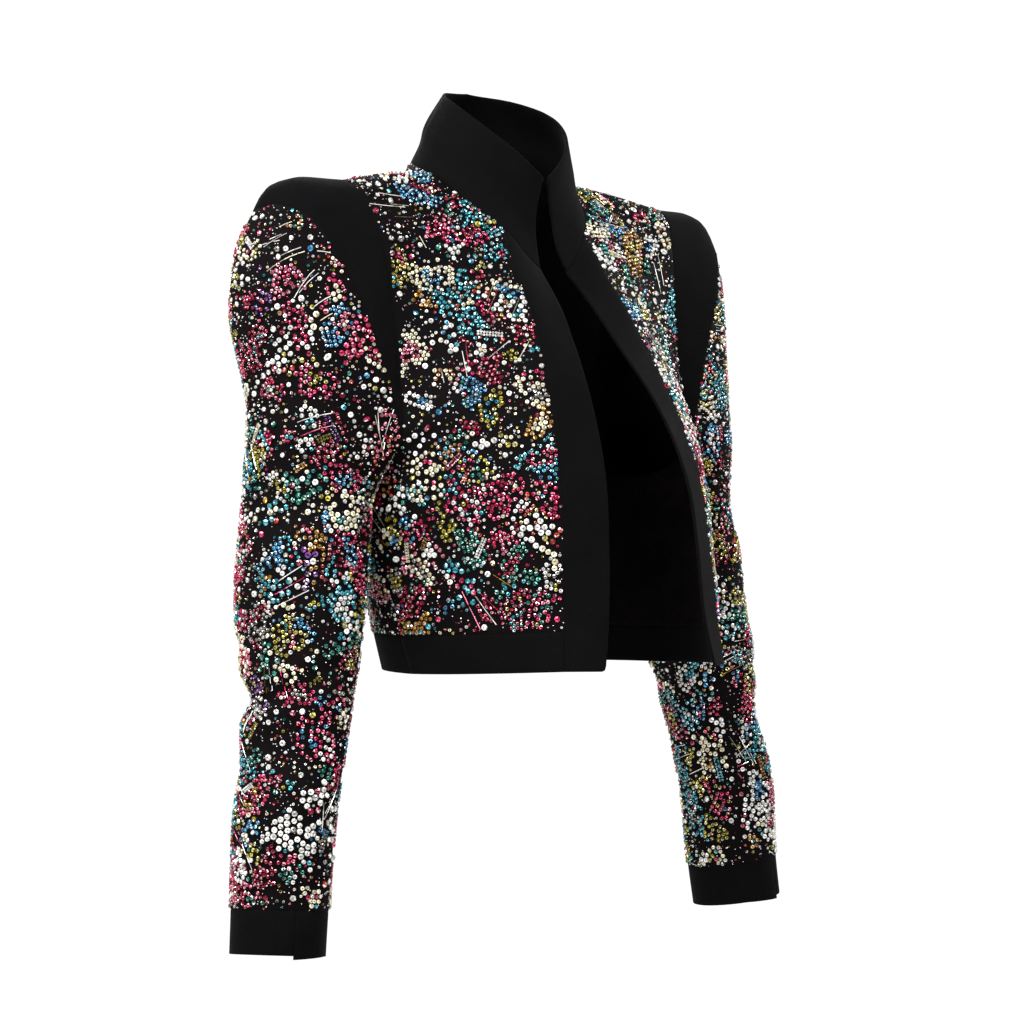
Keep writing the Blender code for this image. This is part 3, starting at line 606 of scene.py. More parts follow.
def raw_normals(grid):
    """Outward unit normals of a grid at its own points, from the cells round each."""
    cells = cell_normals(grid)
    normals = np.zeros_like(grid)
    for r, c in ((0, 0), (0, 1), (1, 0), (1, 1)):
        normals[r : r + cells.shape[0], c : c + cells.shape[1]] += cells
    return normals / np.linalg.norm(normals, axis=2, keepdims=True)


def shared_normals(grids):
    """Normals of all the grids, the same on both sides of each seam, and longer where a seam bends."""
    own = {name: raw_normals(grid) for name, grid in grids.items()}
    points = np.concatenate([grid.reshape(-1, 3) for grid in grids.values()])
    normals = np.concatenate([own[name].reshape(-1, 3) for name in grids])
    tree = KDTree(len(points))
    for k, point in enumerate(points):
        tree.insert(point, k)
    tree.balance()
    shared = {}
    start = 0
    for name, grid in grids.items():
        long = []
        for k in range(start, start + grid.shape[0] * grid.shape[1]):
            near = [found[1] for found in tree.find_range(points[k], SAME_PLACE)]
            mean = np.sum(normals[near], axis=0)
            mean = mean / np.linalg.norm(mean)
            cosine = max(float(mean @ normals[k]), LEAST_COSINE)
            long.append(mean * min(1 / cosine, MOST_MITRE))
        shared[name] = np.array(long).reshape(grid.shape)
        start += len(long)
    return shared


def drawn_in(grid, normals):
    """Moves that draw each border of a grid in by half of the seam gap, square to the seam."""
    moves = np.zeros_like(grid)
    ends = ((0, 1), (-1, -2))
    borders = [(np.s_[end, :], np.s_[near, :]) for end, near in ends]
    for edge, inner in borders + [(np.s_[:, end], np.s_[:, near]) for end, near in ends]:
        if is_point(grid[edge]):
            continue
        square = np.cross(normals[edge], np.gradient(grid[edge], axis=0))
        square /= np.linalg.norm(square, axis=1, keepdims=True)
        inwards = np.sign(np.sum(square * (grid[inner] - grid[edge])))
        moves[edge] += square * inwards * SEAM_GAP / 2
    for end, near in ends:
        if is_point(grid[:, end]):
            way = grid[:, near].mean(axis=0) - grid[0, end]
            moves[:, end] = way / np.linalg.norm(way) * TIP_SETBACK
    return moves


# Soft creases, each along a line from one point to another: a trough with a low ridge on both
# sides. The two sides of the jacket are given separately, because cloth doesn't fold evenly.
CREASES = table(
    "x0 y0 z0 x1 y1 z1 depth half_width",
    "0.2 -0.047 -0.395 0.262 -0.04 -0.44 0.003 0.0085; "
    "0.262 -0.04 -0.44 0.266 0.03 -0.425 0.0026 0.009; "
    "0.178 0 -0.455 0.2 0.04 -0.44 0.0022 0.009; "
    "0.205 0.052 -0.35 0.245 0.048 -0.385 0.0018 0.01; "
    "0.215 -0.055 -0.5 0.262 -0.04 -0.52 0.0014 0.009; "
    "0.16 -0.05 -0.262 0.195 -0.048 -0.32 0.0024 0.01; "
    "0.165 0.06 -0.262 0.205 0.058 -0.33 0.0026 0.011; "
    "0.225 -0.044 -0.2 0.24 -0.036 -0.29 0.0012 0.012; "
    "-0.2 -0.047 -0.402 -0.258 -0.044 -0.436 0.0034 0.0085; "
    "-0.25 -0.042 -0.43 -0.268 0.026 -0.446 0.003 0.009; "
    "-0.268 0.01 -0.408 -0.232 0.046 -0.39 0.002 0.009; "
    "-0.178 0.004 -0.452 -0.202 0.036 -0.47 0.0024 0.0085; "
    "-0.262 -0.03 -0.482 -0.215 -0.05 -0.496 0.0014 0.009; "
    "-0.162 -0.052 -0.262 -0.19 -0.05 -0.33 0.0022 0.0105; "
    "-0.163 0.062 -0.258 -0.2 0.06 -0.318 0.0028 0.011; "
    "0.12 -0.06 -0.29 0.146 -0.03 -0.36 0.0026 0.011; "
    "-0.122 -0.062 -0.285 -0.147 -0.028 -0.368 0.0022 0.012; "
    "0.135 0.06 -0.265 0.075 0.092 -0.33 0.0024 0.013; "
    "-0.132 0.062 -0.262 -0.088 0.09 -0.35 0.002 0.013; "
    "0.045 0.1 -0.3 0.058 0.092 -0.388 0.0014 0.012; "
    "-0.03 0.102 -0.29 -0.045 0.094 -0.385 0.0016 0.012; "
    "0.05 0.075 -0.02 0.11 0.085 -0.07 0.0016 0.011; "
    "-0.052 0.073 -0.022 -0.118 0.08 -0.06 0.0018 0.011; "
    "0.06 -0.055 -0.055 0.075 -0.105 -0.13 0.0016 0.01; "
    "-0.058 -0.058 -0.058 -0.068 -0.11 -0.14 0.0018 0.0095; "
    "-0.058 0.05 0.012 -0.05 0.038 0.052 0.0022 0.006; "
    "0.06 0.04 0.005 0.052 0.03 0.048 0.0018 0.0065; "
    "0.02 0.078 0.01 0.008 0.066 0.048 0.001 0.008; "
    "-0.052 -0.094 -0.09 -0.03 -0.11 -0.15 0.001 0.009",
)
CREASE_RIDGE = 0.35
CREASE_RIDGE_AT = 2.0
CREASE_END_FADE = 0.018
CREASE_END_STRENGTH = 0.35


def creased(points):
    """How far the creases move each point out along its normal."""
    moved = np.zeros(points.shape[:-1])
    for row in rows_of(CREASES):
        start = np.array([row["x0"], row["y0"], row["z0"]])
        way = np.array([row["x1"], row["y1"], row["z1"]]) - start
        share = np.clip((points - start) @ way / (way @ way), 0, 1)
        off = np.linalg.norm(points - start - share[..., None] * way, axis=-1) / row["half_width"]
        ridge = CREASE_RIDGE * np.exp(-((off - CREASE_RIDGE_AT) ** 2))
        length = np.linalg.norm(way)
        ends = np.clip(np.minimum(share, 1 - share) * length / CREASE_END_FADE, 0, 1)
        strength = CREASE_END_STRENGTH + (1 - CREASE_END_STRENGTH) * ends**2 * (3 - 2 * ends)
        moved -= row["depth"] * strength * (np.exp(-(off**2)) - ridge)
    return moved


# Cloth shells.


def placed(name, data):
    """New object of the scene."""
    made = bpy.data.objects.new(name, data)
    bpy.context.scene.collection.objects.link(made)
    return made


def shell(name, grid, normals):
    """Closed thin shell of one sewn piece, with its cut edges rounded."""
    rows, columns = grid.shape[:2]
    middle = grid + drawn_in(grid, normals)
    bm = bmesh.new()
    for side in (1, -1):
        made = bmesh.ops.create_grid(bm, x_segments=columns - 1, y_segments=rows - 1, size=1.0)
        wall = middle + normals * side * CLOTH_THICKNESS / 2
        for vert, place in zip(made["verts"], wall.reshape(-1, 3)):
            vert.co = place
        if side == 1:
            faces = list({face for vert in made["verts"] for face in vert.link_faces})
            bmesh.ops.reverse_faces(bm, faces=faces)
    open_edges = [edge for edge in bm.edges if edge.is_boundary]
    bmesh.ops.bridge_loops(bm, edges=open_edges)
    rims = [edge for edge in open_edges if edge.is_valid]
    bmesh.ops.bevel(
        bm,
        geom=rims,
        offset=EDGE_ROUNDING,
        segments=2,
        profile=0.5,
        affect="EDGES",
        clamp_overlap=True,
        material=-1,
    )
    bmesh.ops.remove_doubles(bm, verts=bm.verts, dist=SAME_PLACE)
    mesh = bpy.data.meshes.new(name)
    bm.to_mesh(mesh)
    bm.free()
    mesh.shade_smooth()
    return placed(name, mesh)


# Beads: each kind is a small faceted form of radius 1 that stands on its flat side. Its rings go up
# from the cloth, each a radius, a height and how much of the bead's colour shows there: a painted
# shade, darkest at the bead's foot. The last numbers are the depth and the painted shade of its hole,
# which stands for the shade in it and the black cloth seen through it, and a bead without one has a
# flat top.
BEAD_RINGS = {
    "stone": (7, ((1.0, 0.0, 0.2), (0.92, 0.50, 1.0), (0.42, 0.76, 0.9)), (0.4, 0.06)),
    "drum": (7, ((1.0, 0.0, 0.4), (0.84, 0.72, 1.0), (0.38, 0.90, 0.8)), (0.3, 0.02)),
    "ring": (6, ((1.0, 0.0, 0.6), (0.84, 0.75, 1.0), (0.48, 0.72, 0.6)), (0.1, 0.02)),
    "seed": (5, ((1.0, 0.0, 0.8), (0.55, 0.9, 1.0)), None),
}
BUGLE_SEGMENTS = 4
BUGLE_LIFT = 0.7
FACET_ROUNDING = 2
# Painted light of cut glass: how much lighter or darker each facet of a bead is painted, and how
# often one is painted as a white glint.
PAINTED_FACET_LIGHT = (0.40, 1.45)
PAINTED_GLINT_SHARE = 0.11
PAINTED_GLINT = (0.86, 0.84, 0.80)
# How far the beads lean and how much their colours differ.
BEAD_TILT = 0.20
TINT_SPREAD = (0.50, 1.10)


def ring_above(bm, edges, radius, height):
    """New ring over an open edge loop."""
    made = bmesh.ops.extrude_edge_only(bm, edges=edges)["geom"]
    for part in made:
        if isinstance(part, bmesh.types.BMVert):
            spoke = Vector((part.co.x, part.co.y, 0.0)).normalized()
            part.co = spoke * radius + Vector((0.0, 0.0, height))
    return [part for part in made if isinstance(part, bmesh.types.BMEdge)]


def bead_form(kind):
    """Vertices, painted shades and triangles of one kind of bead, and the facet that each triangle is in."""
    bm = bmesh.new()
    if kind == "bugle":
        turn = Matrix.Rotation(math.pi / 2, 3, "Y")
        bmesh.ops.create_cone(bm, cap_ends=True, segments=BUGLE_SEGMENTS, radius1=1.0, radius2=1.0, depth=2.0)
        bmesh.ops.rotate(bm, verts=bm.verts, cent=(0.0, 0.0, 0.0), matrix=turn)
        bmesh.ops.translate(bm, verts=bm.verts, vec=(0.0, 0.0, BUGLE_LIFT))
        painted_shades = [1.0] * len(bm.verts)
    else:
        segments, rings, hole = BEAD_RINGS[kind]
        bmesh.ops.create_circle(bm, segments=segments, radius=rings[0][0])
        edges = list(bm.edges)
        for radius, height, _ in rings[1:]:
            edges = ring_above(bm, edges, radius, height)
        top = bmesh.ops.contextual_create(bm, geom=edges)["faces"]
        # Each ring's painted shade, darkest at the bead's foot; the hole gets its own painted shade.
        painted_shades = [shade for *_, shade in rings for _ in range(segments)]
        if hole is not None:
            pit = bmesh.ops.poke(bm, faces=top)["verts"][0]
            pit.co.z = hole[0]
            painted_shades.append(hole[1])
        bmesh.ops.recalc_face_normals(bm, faces=bm.faces)
        if max(bm.faces, key=lambda face: face.calc_center_median().z).normal.z < 0:
            bmesh.ops.reverse_faces(bm, faces=bm.faces)
    bmesh.ops.triangulate(bm, faces=bm.faces)
    bm.verts.index_update()
    verts = np.array([vert.co for vert in bm.verts])
    # The triangles are sorted, because they are made in an order that changes from run to run.
    triangles = sorted(([vert.index for vert in face.verts], *face.normal) for face in bm.faces)
    faces = np.array([corners for corners, *_ in triangles])
    ways = np.round([way for _, *way in triangles], FACET_ROUNDING)
    bm.free()
    return verts, np.array(painted_shades), faces, np.unique(ways, axis=0, return_inverse=True)[1].ravel()


# Bead colours, and how often a cluster or a single bead has each: white, cream, crimson, dark red,
# pink, teal, green, blue, olive-gold, amber, grey, copper, scarlet and violet.
BEAD_COLOURS = table(
    "number red green blue cluster single",
    "0 0.92 0.9 0.85 16 30; 1 0.86 0.77 0.52 11 17; 2 0.62 0.015 0.1 13 10; "
    "3 0.36 0.005 0.045 9 9; 4 0.74 0.17 0.26 4 5; 5 0.04 0.36 0.44 13 9; "
    "6 0.015 0.22 0.16 10 8; 7 0.05 0.28 0.52 6 6; 8 0.46 0.38 0.03 12 12; 9 0.56 0.27 0.04 3 6; "
    "10 0.36 0.33 0.29 4 8; 11 0.62 0.3 0.14 1 2; 12 0.6 0.04 0.02 1 2; 13 0.18 0.04 0.26 0.3 1",
)
WHITE = 0
PALE_COLOURS = (0, 1)
LINE_COLOURS = (0, 0, 0, 0, 0, 10, 1, 2, 2, 9)

# Lines of bugle beads, a few side by side in a fan, and strips of two rows of ring beads.
FANS_PER_M2 = 190
FAN_LINES = (1, 5)
FAN_SPACING = (0.005, 0.009)
FAN_SPREAD = (-0.18, 0.18)
FAN_JITTER = 0.004
LINE_LINKS = (2, 7)
BUGLE_RADIUS = 0.00035
BUGLE_HALF_LENGTH = 0.0028
STRIPS_PER_M2 = 120
STRIP_LINKS = (5, 10)
STRIP_RADIUS = (0.0010, 0.0014)
STRIP_STEP = 2.05
STRIP_ASIDE = 1.05

# Clusters: wavy patches of beads in staggered rows. Steps and jitter are in bead radii. Some have a
# middle of one colour inside a border of another, and all have a few beads of other colours.
CLUSTERS_PER_M2 = 2300
CLUSTER_REACH = (0.006, 0.0195)
CLUSTER_LEAN = (0.55, 1.0)
CLUSTER_WAVES = (0.25, 0.18)
CLUSTER_STEP = 2.06
CLUSTER_ROW_STEP = 0.87
CLUSTER_JITTER = 0.16
CLUSTER_SIZES = (0.88, 1.06)
STONE_CLUSTER_SHARE = 0.12
DRUM_RADIUS = (0.0016, 0.0021)
BORDERED_SHARE = 0.5
BORDER_FROM = 0.55
MIXED_SHARE = (0.04, 0.28)
THIRD_SHARE = 0.04

# Single beads by kind: how many, how large, how often each is tried and how many are white.
STONE_RADIUS = (0.0019, 0.0027)
SINGLE_BEADS = {
    "stone": (2600, STONE_RADIUS, 3, 0.55),
    "ring": (12500, (0.0010, 0.0015), 2, 0.1),
    "seed": (20000, (0.0004, 0.0007), 2, 0.6),
}
OVAL_SHARE = 0.08
OVAL_STRETCH = 1.5

# The room that a bead claims, as a share of its radius.
LINE_CLAIM = 2.2
STRIP_CLAIM = 0.95
CLUSTER_CLAIM = 0.93
SINGLE_CLAIM = 1.15
ROOM_CELL = 0.006
NEAR_CELLS = (-1, 0, 1)


class Room:
    """What space the beads laid so far leave, kept in cells of a few millimetres."""

    def __init__(self):
        self.cells = {}

    def take(self, place, radius):
        """Claims a round spot and says whether it was free."""
        key = tuple(int(math.floor(x / ROOM_CELL)) for x in place)
        x, y, z = place
        for i, j, k in itertools.product(NEAR_CELLS, repeat=3):
            for a, b, c, r in self.cells.get((key[0] + i, key[1] + j, key[2] + k), ()):
                if (a - x) ** 2 + (b - y) ** 2 + (c - z) ** 2 < (r + radius) ** 2:
                    return False
        self.cells.setdefault(key, []).append((x, y, z, radius))
        return True


class Cloth:
    """The outside of a panel, read anywhere between its grid's points."""

    def __init__(self, grid, normals, rng):
        self.grid = grid + normals * CLOTH_THICKNESS / 2
        self.normals = normals / np.linalg.norm(normals, axis=2, keepdims=True)
        self.rng = rng
        areas = cell_areas(self.grid)
        self.area = areas.sum()
        self.shares = np.cumsum(areas.ravel()) / self.area
        self.rows, self.columns = areas.shape

    def cell(self, at):
        """Row and column of the cell that a spot is in."""
        return min(max(int(at[0]), 0), self.rows - 1), min(max(int(at[1]), 0), self.columns - 1)

    def mixed(self, values, at):
        """Values between grid points, at (row, column)."""
        r, c = self.cell(at)
        dr = at[0] - r
        dc = at[1] - c
        top = values[r, c] * (1 - dc) + values[r, c + 1] * dc
        return top * (1 - dr) + (values[r + 1, c] * (1 - dc) + values[r + 1, c + 1] * dc) * dr

    def anywhere(self):
        """Random (row, column), evenly over the panel's area."""
        cell = int(np.searchsorted(self.shares, self.rng.random()))
        cell = min(cell, self.rows * self.columns - 1)
        return np.array(divmod(cell, self.columns)) + self.rng.random(2)

    def directions(self, at):
        """Vectors along one row and one column at a spot."""
        r, c = self.cell(at)
        (a, b), (d, e) = self.grid[r : r + 2, c : c + 2]
        return (d + e - a - b) / 2, (b + e - a - d) / 2

    def stepped(self, at, offset):
        """(row, column) a small way off in metres, along and down the cloth, or None past its border."""
        down, over = self.directions(at)
        long = np.linalg.norm(over)
        if long < SAME_PLACE:
            return None
        east = over / long
        south = down - (down @ east) * east
        steep = np.linalg.norm(south)
        rows = offset[1] / steep
        columns = (offset[0] - rows * (down @ east)) / long
        spot = at + np.array([rows, columns])
        inside = 0 < spot[0] < self.rows and 0 < spot[1] < self.columns
        return spot if inside else None

    def clear_of_border(self, at, radius):
        """Whether a bead there would stay on its own panel."""
        rows, columns = (radius / max(np.linalg.norm(way), SAME_PLACE) for way in self.directions(at))
        return rows < at[0] < self.rows - rows and columns < at[1] < self.columns - columns


def facing(turn):
    """Unit vector on the cloth at an angle, and the one square to it."""
    way = np.array([math.cos(turn), math.sin(turn)])
    return way, np.array([-way[1], way[0]])


class Beading:
    """The beads of one panel: kind, place, upright, along, radius, stretch and colour number of each."""

    def __init__(self, cloth):
        self.cloth = cloth
        self.rng = cloth.rng
        self.room = Room()
        self.beads = []

    def lay(self, kind, at, radius, colour, claim, along=None, stretch=1.0):
        """Lays one bead if there is room for it, and says whether it did."""
        cloth = self.cloth
        if at is None or not cloth.clear_of_border(at, radius):
            return False
        place = cloth.mixed(cloth.grid, at)
        if not self.room.take(place, radius * claim):
            return False
        upright = cloth.mixed(cloth.normals, at)
        if along is None:
            along = self.rng.normal(size=3)
        self.beads.append((kind, place, upright, along, radius, stretch, colour))
        return True

    def picked(self, column):
        """Number of a random colour, by the odds in a column of the colour table."""
        odds = BEAD_COLOURS[column] / BEAD_COLOURS[column].sum()
        return int(self.rng.choice(len(odds), p=odds))

    def somewhere(self):
        """Random spot and direction."""
        return self.cloth.anywhere(), self.rng.uniform(0, 2 * math.pi)

    def line(self, at, turn, links):
        """Thin straight line of bugle beads."""
        cloth = self.cloth
        colour = LINE_COLOURS[self.rng.integers(len(LINE_COLOURS))]
        step = 2 * BUGLE_HALF_LENGTH * facing(turn)[0]
        for _ in range(links):
            ahead = None if at is None else cloth.stepped(at, step)
            if ahead is None:
                return
            way = cloth.mixed(cloth.grid, ahead) - cloth.mixed(cloth.grid, at)
            stretch = BUGLE_HALF_LENGTH / BUGLE_RADIUS
            self.lay("bugle", (at + ahead) / 2, BUGLE_RADIUS, colour, LINE_CLAIM, way, stretch)
            at = ahead

    def fan(self):
        """A few lines side by side."""
        rng = self.rng
        at, turn = self.somewhere()
        across = facing(turn)[1]
        spread = rng.uniform(*FAN_SPREAD)
        for k in range(rng.integers(*FAN_LINES)):
            start = across * k * rng.uniform(*FAN_SPACING) + rng.normal(0, FAN_JITTER, 2)
            self.line(self.cloth.stepped(at, start), turn + spread * k, rng.integers(*LINE_LINKS))

    def strip(self):
        """Two short rows of ring beads side by side."""
        at, turn = self.somewhere()
        colour = self.picked("single")
        radius = self.rng.uniform(*STRIP_RADIUS)
        way, across = facing(turn)
        for k in range(self.rng.integers(*STRIP_LINKS)):
            for side in (-1, 1):
                off = way * STRIP_STEP * radius * k + across * side * STRIP_ASIDE * radius
                self.lay("ring", self.cloth.stepped(at, off), radius, colour, STRIP_CLAIM)

    def cluster(self):
        """Wavy patch of beads of like colours."""
        rng = self.rng
        at = self.cloth.anywhere()
        colour = self.picked("cluster")
        second = self.picked("cluster")
        third = self.picked("single")
        mixing = rng.uniform(*MIXED_SHARE)
        border = BORDER_FROM if rng.random() < BORDERED_SHARE else math.inf
        is_stone = colour in PALE_COLOURS or rng.random() < STONE_CLUSTER_SHARE
        radius = rng.uniform(*(STONE_RADIUS if is_stone else DRUM_RADIUS))
        reach = rng.uniform(*CLUSTER_REACH)
        lean = rng.uniform(*CLUSTER_LEAN)
        way, across = facing(rng.uniform(0, 2 * math.pi))
        waves = rng.uniform(0, 2 * math.pi, 2)
        count = int(reach / radius) + 2
        steps = range(-count, count + 1)
        for i, j in itertools.product(steps, repeat=2):
            off = radius * CLUSTER_STEP * np.array([i + 0.5 * (j % 2), j * CLUSTER_ROW_STEP])
            off = off + rng.normal(0, CLUSTER_JITTER * radius, 2)
            angle = math.atan2(off[1], off[0])
            blob = 1 + CLUSTER_WAVES[0] * math.sin(2 * angle + waves[0])
            blob = blob + CLUSTER_WAVES[1] * math.sin(3 * angle + waves[1])
            far = math.hypot(off[0], off[1] / lean) / (reach * blob)
            if far > 1:
                continue
            size = radius * rng.uniform(*CLUSTER_SIZES)
            own = second if far > border or rng.random() < mixing else colour
            own = third if rng.random() < THIRD_SHARE else own
            spot = self.cloth.stepped(at, off[0] * way + off[1] * across)
            self.lay("stone" if is_stone else "drum", spot, size, own, CLUSTER_CLAIM)

    def single(self, kind):
        """One bead anywhere, tried a few times."""
        _, radii, tries, white_share = SINGLE_BEADS[kind]
        rng = self.rng
        colour = WHITE if rng.random() < white_share else self.picked("single")
        radius = rng.uniform(*radii)
        stretch = OVAL_STRETCH if kind == "stone" and rng.random() < OVAL_SHARE else 1.0
        for _ in range(tries):
            at = self.cloth.anywhere()
            if self.lay(kind, at, radius, colour, SINGLE_CLAIM * stretch, None, stretch):
                return

    def all_laid(self):
        """Lays everything and returns the beads."""
        area = self.cloth.area
        for lay, density in (
            (self.fan, FANS_PER_M2),
            (self.strip, STRIPS_PER_M2),
            (self.cluster, CLUSTERS_PER_M2),
        ):
            for _ in range(int(area * density)):
                lay()
        for kind, (density, *_) in SINGLE_BEADS.items():
            for _ in range(int(area * density)):
                self.single(kind)
        return self.beads


def unit(vectors):
    """The vectors at length 1."""
    return vectors / np.linalg.norm(vectors, axis=1, keepdims=True)


def beads_mesh(name, beads, forms):
    """One mesh of all the beads of a list."""
    verts = []
    faces = []
    colours_and_painted_light = []
    clear = []
    start = 0
    colours = np.stack([BEAD_COLOURS[c] for c in ("red", "green", "blue")], axis=1)
    rng = np.random.default_rng(len(beads))
    for kind, (form, painted_shades, corners, facets) in forms.items():
        own = [bead[1:] for bead in beads if bead[0] == kind]
        if not own:
            continue
        place, upright, along, radius, stretch, numbers = (np.array(part) for part in zip(*own))
        upright = unit(upright)
        along = unit(along - np.sum(along * upright, axis=1, keepdims=True) * upright)
        across = np.cross(upright, along)
        tilt = rng.normal(0, BEAD_TILT, (len(own), 2)) * (kind != "bugle")
        leaning = unit(upright + along * tilt[:, :1] + across * tilt[:, 1:])
        along = unit(np.cross(across, leaning))
        across = np.cross(leaning, along)
        axes = ((along, radius * stretch), (across, radius), (leaning, radius))
        spots = sum(
            way[:, None] * (form[None, :, k : k + 1] * size[:, None, None])
            for k, (way, size) in enumerate(axes)
        )
        verts.append((place[:, None] + spots).reshape(-1, 3))
        faces.append((corners[None] + len(form) * np.arange(len(own))[:, None, None] + start).reshape(-1, 3))
        tint = colours[numbers] * rng.uniform(*TINT_SPREAD, (len(own), 1))
        clear.append(np.repeat(np.isin(numbers, PALE_COLOURS), len(corners)))
        # Painted light: each facet's colour is painted lighter or darker at random, some facets are painted
        # as white glints, and each corner takes the painted shade of the bead's foot and hole.
        light = rng.uniform(*PAINTED_FACET_LIGHT, (len(own), facets.max() + 1, 1))
        painted_glint_facets = rng.random(light.shape) < PAINTED_GLINT_SHARE
        facet_colour_and_painted_light = np.where(painted_glint_facets, PAINTED_GLINT, np.minimum(tint[:, None] * light, 1.0))
        colours_and_painted_light.append((facet_colour_and_painted_light[:, facets, None] * painted_shades[corners][None, ..., None]).reshape(-1, 3))
        start += len(own) * len(form)
    verts = np.concatenate(verts)
    faces = np.concatenate(faces)
    mesh = bpy.data.meshes.new(name)
    mesh.vertices.add(len(verts))
    mesh.vertices.foreach_set("co", verts.ravel())
    mesh.loops.add(faces.size)
    mesh.loops.foreach_set("vertex_index", faces.ravel())
    mesh.polygons.add(len(faces))
    mesh.polygons.foreach_set("loop_start", np.arange(len(faces)) * 3)
    mesh.polygons.foreach_set("loop_total", np.full(len(faces), 3))
    mesh.polygons.foreach_set("material_index", np.concatenate(clear).astype(int))
    mesh.update(calc_edges=True)
    mesh.shade_flat()
    # The attribute holds each bead's own colour with its painted facet light, painted glints and painted
    # shade.
    colour_and_light_attribute = mesh.attributes.new("bead_colour_and_painted_light", "FLOAT_VECTOR", "CORNER")
    colour_and_light_attribute.data.foreach_set("vector", np.concatenate(colours_and_painted_light).ravel())
    mesh.validate()
    return placed(name, mesh)


# Materials.


def filled(tree, made, inputs):
    """The node with its inputs set: one given as another node's socket is linked to it."""
    for label, value in inputs.items():
        if isinstance(value, bpy.types.NodeSocket):
            tree.links.new(value, made.inputs[label])
        else:
            made.inputs[label].default_value = value
    return made


def added(tree, kind, inputs, output, **settings):
    """Output socket of a new shader node."""
    made = tree.nodes.new("ShaderNode" + kind)
    for label, value in settings.items():
        setattr(made, label, value)
    return filled(tree, made, inputs).outputs[output]


def new_material(name):
    """Material with only its Principled shader and its output, and its node tree."""
    made = bpy.data.materials.new(name)
    made.use_nodes = True
    return made, made.node_tree


def cloth_surface():
    """Group for short-pile and woven cloth: a patchy colour and a fine bumpy height."""
    group = bpy.data.node_groups.new("cloth_surface", "ShaderNodeTree")
    sockets = {
        "INPUT": "Dark:Color Light:Color Patch_Scale:Float Grain_Scale:Float Grain_Depth:Float",
        "OUTPUT": "Colour:Color Normal:Vector Patches:Float",
    }
    for direction, listed in sockets.items():
        for socket in listed.split():
            label, kind = socket.replace("_", " ").split(":")
            group.interface.new_socket(name=label, in_out=direction, socket_type="NodeSocket" + kind)
    entry = group.nodes.new("NodeGroupInput").outputs
    place = added(group, "TexCoord", {}, "Object")
    patches = {"Vector": place, "Scale": entry["Patch Scale"], "Detail": 4.0, "Roughness": 0.6}
    patches = added(group, "TexNoise", patches, "Fac")
    grain = {"Vector": place, "Scale": entry["Grain Scale"], "Detail": 2.0}
    grain = added(group, "TexNoise", grain, "Fac")
    spread = added(group, "MapRange", {"Value": patches, "From Min": 0.32, "From Max": 0.68}, "Result")
    blend = {"Factor": spread, "A": entry["Dark"], "B": entry["Light"]}
    blend = added(group, "Mix", blend, "Result", data_type="RGBA")
    flecks = {"Factor": 0.45, "A": blend, "B": grain}
    flecks = added(group, "Mix", flecks, "Result", data_type="RGBA", blend_type="OVERLAY")
    bump = {"Strength": 0.6, "Distance": entry["Grain Depth"], "Height": grain}
    bump = added(group, "Bump", bump, "Normal")
    leave = group.nodes.new("NodeGroupOutput")
    filled(group, leave, {"Colour": flecks, "Normal": bump, "Patches": spread})
    return group


def cloth_material(name, group, values, roughness, sheen, sheen_roughness, sheen_tint):
    """Cloth of one finish from the shared group."""
    made, tree = new_material(name)
    look = tree.nodes.new("ShaderNodeGroup")
    look.node_tree = group
    look = filled(tree, look, values).outputs
    rough = {"Value": look["Patches"], "To Min": roughness[0], "To Max": roughness[1]}
    finish = {
        "Base Color": look["Colour"],
        "Normal": look["Normal"],
        "Roughness": added(tree, "MapRange", rough, "Result"),
        "Specular IOR Level": CLOTH_SPECULAR,
        "Sheen Weight": sheen,
        "Sheen Roughness": sheen_roughness,
        "Sheen Tint": (*sheen_tint, 1.0),
    }
    filled(tree, tree.nodes["Principled BSDF"], finish)
    return made


def glass_material(name, metallic, roughness, coat):
    """Foil-lined glass, tinted bead by bead, with painted facet light, painted white glints and painted shade
    at each bead's foot and hole from the beads' colour attribute.
    """
    made, tree = new_material(name)
    tint = added(tree, "Attribute", {}, "Color", attribute_name="bead_colour_and_painted_light")
    place = added(tree, "TexCoord", {}, "Object")
    cloudy = added(tree, "TexNoise", {"Vector": place, "Scale": GLASS_CLOUD_SCALE}, "Fac")
    shade = {"Factor": GLASS_CLOUDINESS, "A": tint, "B": cloudy}
    rough = {"Value": cloudy, "To Min": roughness[0], "To Max": roughness[1]}
    finish = {
        "Base Color": added(tree, "Mix", shade, "Result", data_type="RGBA", blend_type="OVERLAY"),
        "Roughness": added(tree, "MapRange", rough, "Result"),
        "Metallic": metallic,
        "IOR": GLASS_IOR,
        "Coat Weight": coat,
        "Coat Roughness": COAT_ROUGHNESS,
    }
    filled(tree, tree.nodes["Principled BSDF"], finish)
    return made


# Finishes: the colours and the scales of the cloth, its roughness from least to most, and its sheen's
# weight, roughness and tint.
CLOTH_SPECULAR = 0.04
CLOTH_FINISHES = {
    "black_velvet_pile": (
        {
            "Dark": (0.0011, 0.0010, 0.0012, 1.0),
            "Light": (0.0030, 0.0027, 0.0031, 1.0),
            "Patch Scale": 22.0,
            "Grain Scale": 1800.0,
            "Grain Depth": 0.0004,
        },
        (0.75, 0.95),
        0.05,
        0.30,
        (0.55, 0.50, 0.53),
    ),
    "black_base_cloth": (
        {
            "Dark": (0.0010, 0.0006, 0.0008, 1.0),
            "Light": (0.0032, 0.0019, 0.0024, 1.0),
            "Patch Scale": 60.0,
            "Grain Scale": 1200.0,
            "Grain Depth": 0.0005,
        },
        (0.60, 0.80),
        0.01,
        0.45,
        (0.50, 0.45, 0.47),
    ),
}
